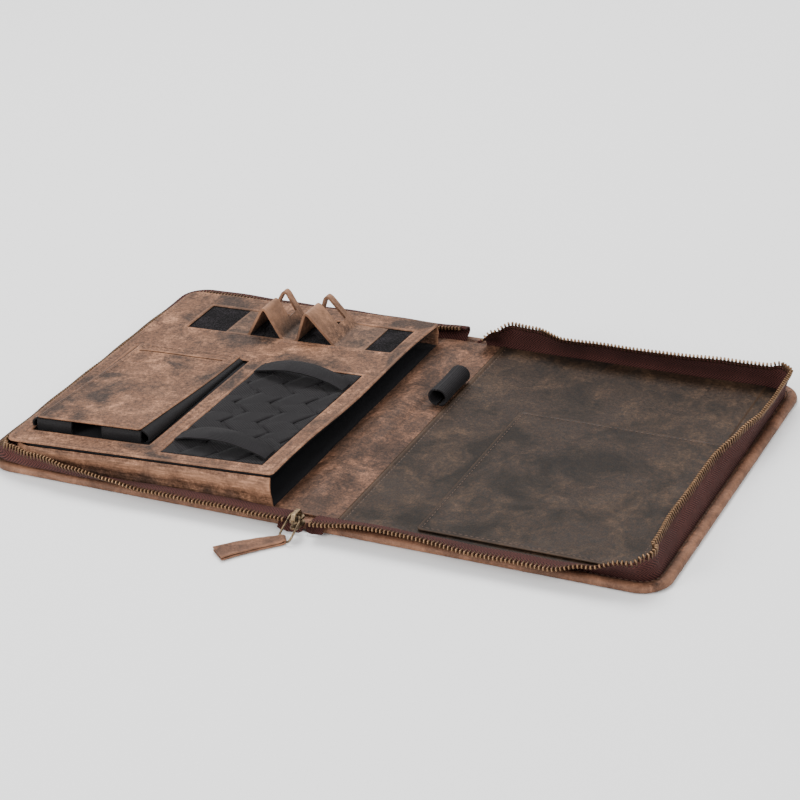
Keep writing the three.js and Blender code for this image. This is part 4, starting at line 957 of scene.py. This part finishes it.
# Card pocket: a leather face on black gussets, raised at its near end, sewn flat at its far end,
# with one slot for a card across its far part and a seam under it.
FACE_LEFT, FACE_RIGHT, FACE_NEAR, FACE_FAR = -195.4, -121.0, -97.9, 24.1
SLOT_LEFT, SLOT_RIGHT, SLOT_LOW, SLOT_HIGH = -190.9, -128.9, 12.4, 14.1


def face_under(x, y):
    sewn = FACE_FAR - 5.2
    along = min(1.0, max(0.0, (y - FACE_NEAR) / (sewn - FACE_NEAR)))
    fallen = 0.26 + 0.74 * along
    begin = 0.26 * 0.26 * (3 - 0.52)
    share = (fallen * fallen * (3 - 2 * fallen) - begin) / (1 - begin)
    return panel_top(x, y) + 6.7 + (0.3 - 6.7) * share


def card_face(x, y):
    outer = min(x - FACE_LEFT, FACE_RIGHT - x, y - FACE_NEAR, FACE_FAR - y)
    slit = math.hypot(max(SLOT_LEFT - x, 0, x - SLOT_RIGHT), max(SLOT_LOW - y, 0, y - SLOT_HIGH))
    reach = max(0.0, min(outer, slit + 0.3))
    seam = -0.4 * math.exp(-((y + 3.0) / 0.6) ** 2) if SLOT_LEFT - 1 < x < SLOT_RIGHT + 1 else 0.0
    lip = 0.35 * math.exp(-((y - SLOT_LOW + 1.4) / 2.2) ** 2) if SLOT_LEFT < x < SLOT_RIGHT else 0.0
    crown = 0.5 * math.sin(math.pi * (x - FACE_LEFT) / (FACE_RIGHT - FACE_LEFT))
    soft = 0.4 * noise.noise(Vector((x / 30, y / 30, 12.1)))
    leather = 1.3 + 0.8 * turned_border(reach)
    return face_under(x, y) + leather + seam + lip + (crown + soft) * min(1.0, outer / 8)


face_sheet = ruled_sheet([FACE_LEFT, FACE_RIGHT, SLOT_LEFT, SLOT_RIGHT],
                         [FACE_NEAR, FACE_FAR, SLOT_LOW, SLOT_HIGH, -3.0],
                         [(SLOT_LEFT, SLOT_RIGHT, SLOT_LOW, SLOT_HIGH)], 5.0)
face_wear = face_sheet.verts.layers.float.new(wear_and_highlight_layer)
for point in face_sheet.verts:
    x, y = point.co.x, point.co.y
    outer = min(x - FACE_LEFT, FACE_RIGHT - x, y - FACE_NEAR, FACE_FAR - y)
    slit = math.hypot(max(SLOT_LEFT - x, 0, x - SLOT_RIGHT), max(SLOT_LOW - y, 0, y - SLOT_HIGH))
    point[face_wear] = 0.5 * max(0.0, 1 - min(outer, slit) / 1.8)
    point.co.z = card_face(x, y)
round_off(face_sheet, FACE_LEFT, FACE_RIGHT, FACE_NEAR, FACE_FAR, (2.5, 2.5, 2.5, 2.5))
set_down(face_sheet, "card_pocket_leather", brown_leather, ["card_pocket_face"],
         thickness=1.3, edge=0.35, sharp=50)
stitch_rows("card_pocket_stitches", [round_corner(FACE_LEFT, FACE_RIGHT, FACE_NEAR, FACE_FAR, 2.5, 2.9, 3),
                                     [(SLOT_LEFT, -3.0), (SLOT_RIGHT, -3.0)]],
            lambda x, y: card_face(x, y) + 0.05, brown_thread)

black_satin = woven("black_satin", (0.0035, 0.0033, 0.0036), (0.016, 0.0145, 0.0155), 120.0, 60.0, 0.3,
                    0.0001, 0.5, 0.05, 0.4)
GUSSET_NEAR, GUSSET_LENGTH = -96.0, 117.2


def gusset_point(edge_x, hand, u, v):
    """A gusset swells outwards between the panel's backing and the pocket's face."""
    y = GUSSET_NEAR + u * GUSSET_LENGTH
    floor_z = panel_top(edge_x, y) - 1.6
    roof_z = max(face_under(edge_x, y) - 0.3, floor_z + 0.6)
    fullness = 1.6 + 3.2 * min(1.0, (roof_z - floor_z) / 8)
    swell = fullness * math.sin(math.pi * min(1.0, 0.08 + 0.96 * v)) ** 0.7
    soft = 0.3 * noise.noise(Vector((y / 14, v * 2, 8.0)))
    return Vector((edge_x + hand * max(-0.6, swell + soft - 0.8), y, floor_z + v * (roof_z - floor_z)))


for side, edge_x, hand in (("spine_side", FACE_RIGHT, 1), ("outer_side", FACE_LEFT, -1)):
    gusset = laid_sheet(60, 12, lambda u, v: gusset_point(edge_x, hand, u, v), (118, 12))
    if hand > 0:
        bmesh.ops.reverse_faces(gusset, faces=gusset.faces)
    set_down(gusset, f"gusset_{side}", black_satin, [f"card_gusset_{side}"], thickness=1.1,
             side=-1, edge=0.2, sharp=60)


def end_tab_point(start, end, u, v):
    """An end tab stands across the pocket's near end, from the panel up to the face."""
    x = start + u * (end - start)
    floor_z = panel_top(x, -97) - 1.5
    roof_z = face_under(x, -96.3) - 0.25
    out = 1.1 * math.sin(math.pi * min(1.0, 0.1 + v)) ** 0.6
    soft = 0.2 * noise.noise(Vector((x / 7, v * 2, 3.0)))
    return Vector((x, -97.2 - out * 0.9 - soft, floor_z + v * (roof_z - floor_z)))


OUTER_TAB, SPINE_TAB = 25, 28
for side, start, end in (("outer", FACE_LEFT, FACE_LEFT + OUTER_TAB),
                         ("spine_side", FACE_RIGHT - SPINE_TAB, FACE_RIGHT)):
    end_tab = laid_sheet(20, 8, lambda u, v: end_tab_point(start, end, u, v), (end - start, 8))
    set_down(end_tab, f"end_tab_{side}", black_satin, [f"card_tab_{side}"], thickness=1.3,
             side=-1, edge=0.45, sharp=60)


# Elastic field: flat woven elastic tapes plaited slantwise over black cloth, behind two
# more that arch over them and are sewn in at both sides of the window.
black_elastic = woven("black_elastic", (0.0035, 0.0033, 0.0036), (0.02, 0.018, 0.0195), 55.0, 95.0, 0.0,
                      0.00022, 0.8, 0.03, 0.4)
E_LEFT, E_RIGHT, E_NEAR, E_FAR = ELASTIC_WINDOW
base_cloth = window_sheet(ELASTIC_WINDOW, 20, 36, lambda u, v: -0.5)
STRIP, SPACING = 16.4, 17.5
strips = bmesh.new()
strips.loops.layers.uv.new("weave")
for family, slant in ((0, math.radians(62)), (1, math.radians(-38))):
    way = Vector((math.cos(slant), math.sin(slant)))
    beside = Vector((-way.y, way.x))
    centre = Vector(((E_LEFT + E_RIGHT) / 2, (E_NEAR + E_FAR) / 2))
    for order in range(-6, 7):
        strip = bmesh.new()
        bmesh.ops.create_grid(strip, x_segments=60, y_segments=6, size=0.5)
        strip_weave = strip.loops.layers.uv.new("weave")
        for face in strip.faces:
            for corner in face.loops:
                corner[strip_weave].uv = ((corner.vert.co.x + 0.5) * 18, (corner.vert.co.y + 0.5) * 1.4)
        for point in strip.verts:
            along, off = point.co.x * 180, point.co.y * STRIP
            flat = centre + way * along + beside * (off + order * SPACING)
            phase = math.pi * along / SPACING + math.pi * (order + family)
            crown = -0.1 * (2 * point.co.y) ** 6
            lift = max(-1.0, min(1.0, 2.6 * math.sin(phase))) * (1 if family else -1)
            point.co = (flat.x, flat.y, 0.3 * lift + crown)
        for plane, outwards in (((E_LEFT + 0.2, 0, 0), (-1, 0, 0)), ((E_RIGHT - 0.2, 0, 0), (1, 0, 0)),
                                ((0, E_NEAR + 0.2, 0), (0, -1, 0)), ((0, E_FAR - 0.2, 0), (0, 1, 0))):
            bmesh.ops.bisect_plane(strip, geom=strip.verts[:] + strip.edges[:] + strip.faces[:],
                                   plane_co=plane,
                                   plane_no=outwards, clear_outer=True)
        if strip.faces:
            part = bpy.data.meshes.new("strip")
            strip.to_mesh(part)
            strips.from_mesh(part)
            bpy.data.meshes.remove(part)
        strip.free()
for point in strips.verts:
    point.co.z += panel_top(point.co.x, point.co.y) - 0.2
set_down(base_cloth, "elastic_ground", black_lining, thickness=0.6)
set_down(strips, "plaited_elastic", black_elastic, ["elastic_grid"], thickness=0.7, edge=0)

BAND_WIDTH, BAND_RISE, BAND_SKEW = 15, 8.2, 8


def band_point(from_near, u, v):
    """A band arches over the field, gathered narrower where it is sewn in."""
    arch = math.sin(math.pi * u)
    x = E_LEFT + 0.6 + u * (E_RIGHT - E_LEFT - 1.2)
    narrow = 0.62 + 0.38 * min(1.0, arch * 1.4) if u < 0.5 else 0.8 + 0.2 * arch
    y = E_NEAR + from_near + BAND_WIDTH * (v - 0.5) * narrow - BAND_SKEW * (u - 0.5)
    curl = -1.1 * (2 * v - 1) ** 2 * arch
    soft = 0.3 * noise.noise(Vector((x / 8, v * 2, 6.0 + from_near)))
    return Vector((x, y, panel_top(x, y) + 0.3 + BAND_RISE * arch ** 0.8 + curl + soft + 1.0))


for side, from_near in (("near", 15.5), ("far", 113.0)):
    band = laid_sheet(48, 10, lambda u, v: band_point(from_near, u, v), (72, BAND_WIDTH))
    set_down(band, f"arched_elastic_{side}", black_elastic, [f"elastic_band_{side}"],
             thickness=1.1, edge=0.25, sharp=60)


# Spine lining: soft leather over the spine, loose enough to lie in shallow waves
# The right half's leather is partly its own dark brown and partly painted shade, darker than the leather
# alone.
dark_leather = waxed_leather("dark_leather", (0.024, 0.0135, 0.008), (0.06, 0.034, 0.019),
                             (0.011, 0.0075, 0.0053), 0.9)
spine_hide = waxed_leather("spine_hide", (0.075, 0.037, 0.022), (0.21, 0.1, 0.058), (0.035, 0.02, 0.014),
                           0.8, drawn=0.35)


def spine_point(u, v):
    x, y = -22.8 + u * 41.5, -117.0 + v * 234.0
    hump = max(0.0, 1 - ((x + 8) / 13) ** 2) * (0.62 + 0.38 * math.sin(2.6 * math.pi * y / 127 + 0.6))
    ends = max(0.0, 1 - (y / 119) ** 8)
    folds = 0.7 * noise.noise(Vector((x / 9, y / 26,
                                      2.2))) + 0.35 * noise.noise(Vector((x / 4, y / 11, 5.2)))
    return Vector((x, y, 4.6 + 3.2 * hump * ends + max(-0.2, folds) * ends * min(1.0, (18.7 - x) / 5)))


spine = laid_sheet(34, 120, spine_point, (42, 234))
set_down(spine, "spine_leather", spine_hide, ["spine_lining"], thickness=1.2, edge=0.3,
         sharp=60)


# Right half: a darker lining panel whose edge beside the spine is rolled and stitched,
# and a flat slip pocket over it, open at its far end; their dark colour is partly painted shade.
RIGHT_EDGE, RIGHT_LAP, RIGHT_OUTER, RIGHT_HALF_LENGTH = 19.0, 196.0, 207.6, 117.0


def right_top(x, y):
    reach = x - RIGHT_EDGE
    roll_up = 0.75 * math.exp(-((reach - 1.3) / 1.2) ** 2)
    groove = -0.3 * math.exp(-((reach - 3.6) / 0.6) ** 2)
    soft = 0.35 * noise.noise(Vector((x / 36, y / 36, 21.0)))
    lap = 0.6 * min(1.0, max(0.0, (RIGHT_LAP + 0.5 - x) / 0.8))
    lap *= min(1.0, max(0.0, (y - 36) / 6)) * min(1.0, max(0.0, (x - 150) / 40))
    return 4.6 + roll_up + groove + lap + soft * min(1.0, max(0.0, reach) / 8)


right_sheet = ruled_sheet([RIGHT_EDGE, RIGHT_LAP, RIGHT_OUTER], [-RIGHT_HALF_LENGTH, RIGHT_HALF_LENGTH], (),
                          6.0)
right_wear = right_sheet.verts.layers.float.new(wear_and_highlight_layer)
for point in right_sheet.verts:
    lapped = max(0.0, 1 - abs(point.co.x - RIGHT_LAP) / 0.9) if point.co.y > 38 else 0.0
    point[right_wear] = max(lapped, 1 - abs(point.co.x - 20.2) / 2.2, 0.0)
    point.co.z = right_top(point.co.x, point.co.y)
round_off(right_sheet, RIGHT_EDGE, RIGHT_OUTER, -RIGHT_HALF_LENGTH, RIGHT_HALF_LENGTH, (2, 8, 8, 2))
set_down(right_sheet, "right_leather", dark_leather, ["right_panel"], thickness=1.2,
         edge=0.4, sharp=60)
stitch_rows("right_edge_stitches", [[(22.6, -115), (22.6, 115)]], lambda x, y: right_top(x, y) + 0.1,
            brown_thread)

POCKET_LEFT, POCKET_RIGHT, POCKET_NEAR, POCKET_FAR = 66.5, 198.5, -113.4, 36.6


def pocket_top(x, y):
    outer = min(x - POCKET_LEFT, POCKET_RIGHT - x, y - POCKET_NEAR, POCKET_FAR - y)
    soft = 0.35 * noise.noise(Vector((x / 32, y / 32, 31.0)))
    return 6.25 + 0.6 * turned_border(max(0.0, outer)) + soft * min(1.0, max(0.0, outer) / 6)


pocket = ruled_sheet([POCKET_LEFT, POCKET_RIGHT], [POCKET_NEAR, POCKET_FAR], (), 6.0)
pocket_wear = pocket.verts.layers.float.new(wear_and_highlight_layer)
for point in pocket.verts:
    outer = min(point.co.x - POCKET_LEFT, POCKET_RIGHT - point.co.x, point.co.y - POCKET_NEAR,
                POCKET_FAR - point.co.y)
    point[pocket_wear] = 0.8 * max(0.0, 1 - outer / 2.0)
    point.co.z = pocket_top(point.co.x, point.co.y)
round_off(pocket, POCKET_LEFT, POCKET_RIGHT, POCKET_NEAR, POCKET_FAR, (3, 3, 3, 3))
set_down(pocket, "slip_pocket_leather", dark_leather, ["slip_pocket"], thickness=1.1,
         edge=0.35, sharp=60)
stitch_rows("slip_pocket_stitches",
            [round_corner(POCKET_LEFT, POCKET_RIGHT, POCKET_NEAR, POCKET_FAR, 3, 2.8, 3)],
            lambda x, y: pocket_top(x, y) + 0.05, brown_thread)


# Pen loop: a short tube of ribbed black elastic, sewn down along the spine side
def loop_point(u, v):
    turn = 2 * math.pi * v - math.pi / 2
    y = 28.0 + 35.0 * u
    pinch = 1 - 0.06 * math.sin(math.pi * u)
    x = 14.5 + (5.15 * math.cos(turn) + (0.75 if math.cos(turn) > 0 else -0.75)) * pinch
    return Vector((x, y, 4.9 + 5.75 + 5.15 * math.sin(turn) * pinch))


pen = laid_sheet(30, 36, loop_point, (35, 36))
bmesh.ops.remove_doubles(pen, verts=pen.verts, dist=0.01)
bmesh.ops.recalc_face_normals(pen, faces=pen.faces)
set_down(pen, "pen_loop_elastic", black_elastic, ["pen_loop"], thickness=1.2, side=0,
         edge=0.3, sharp=60)
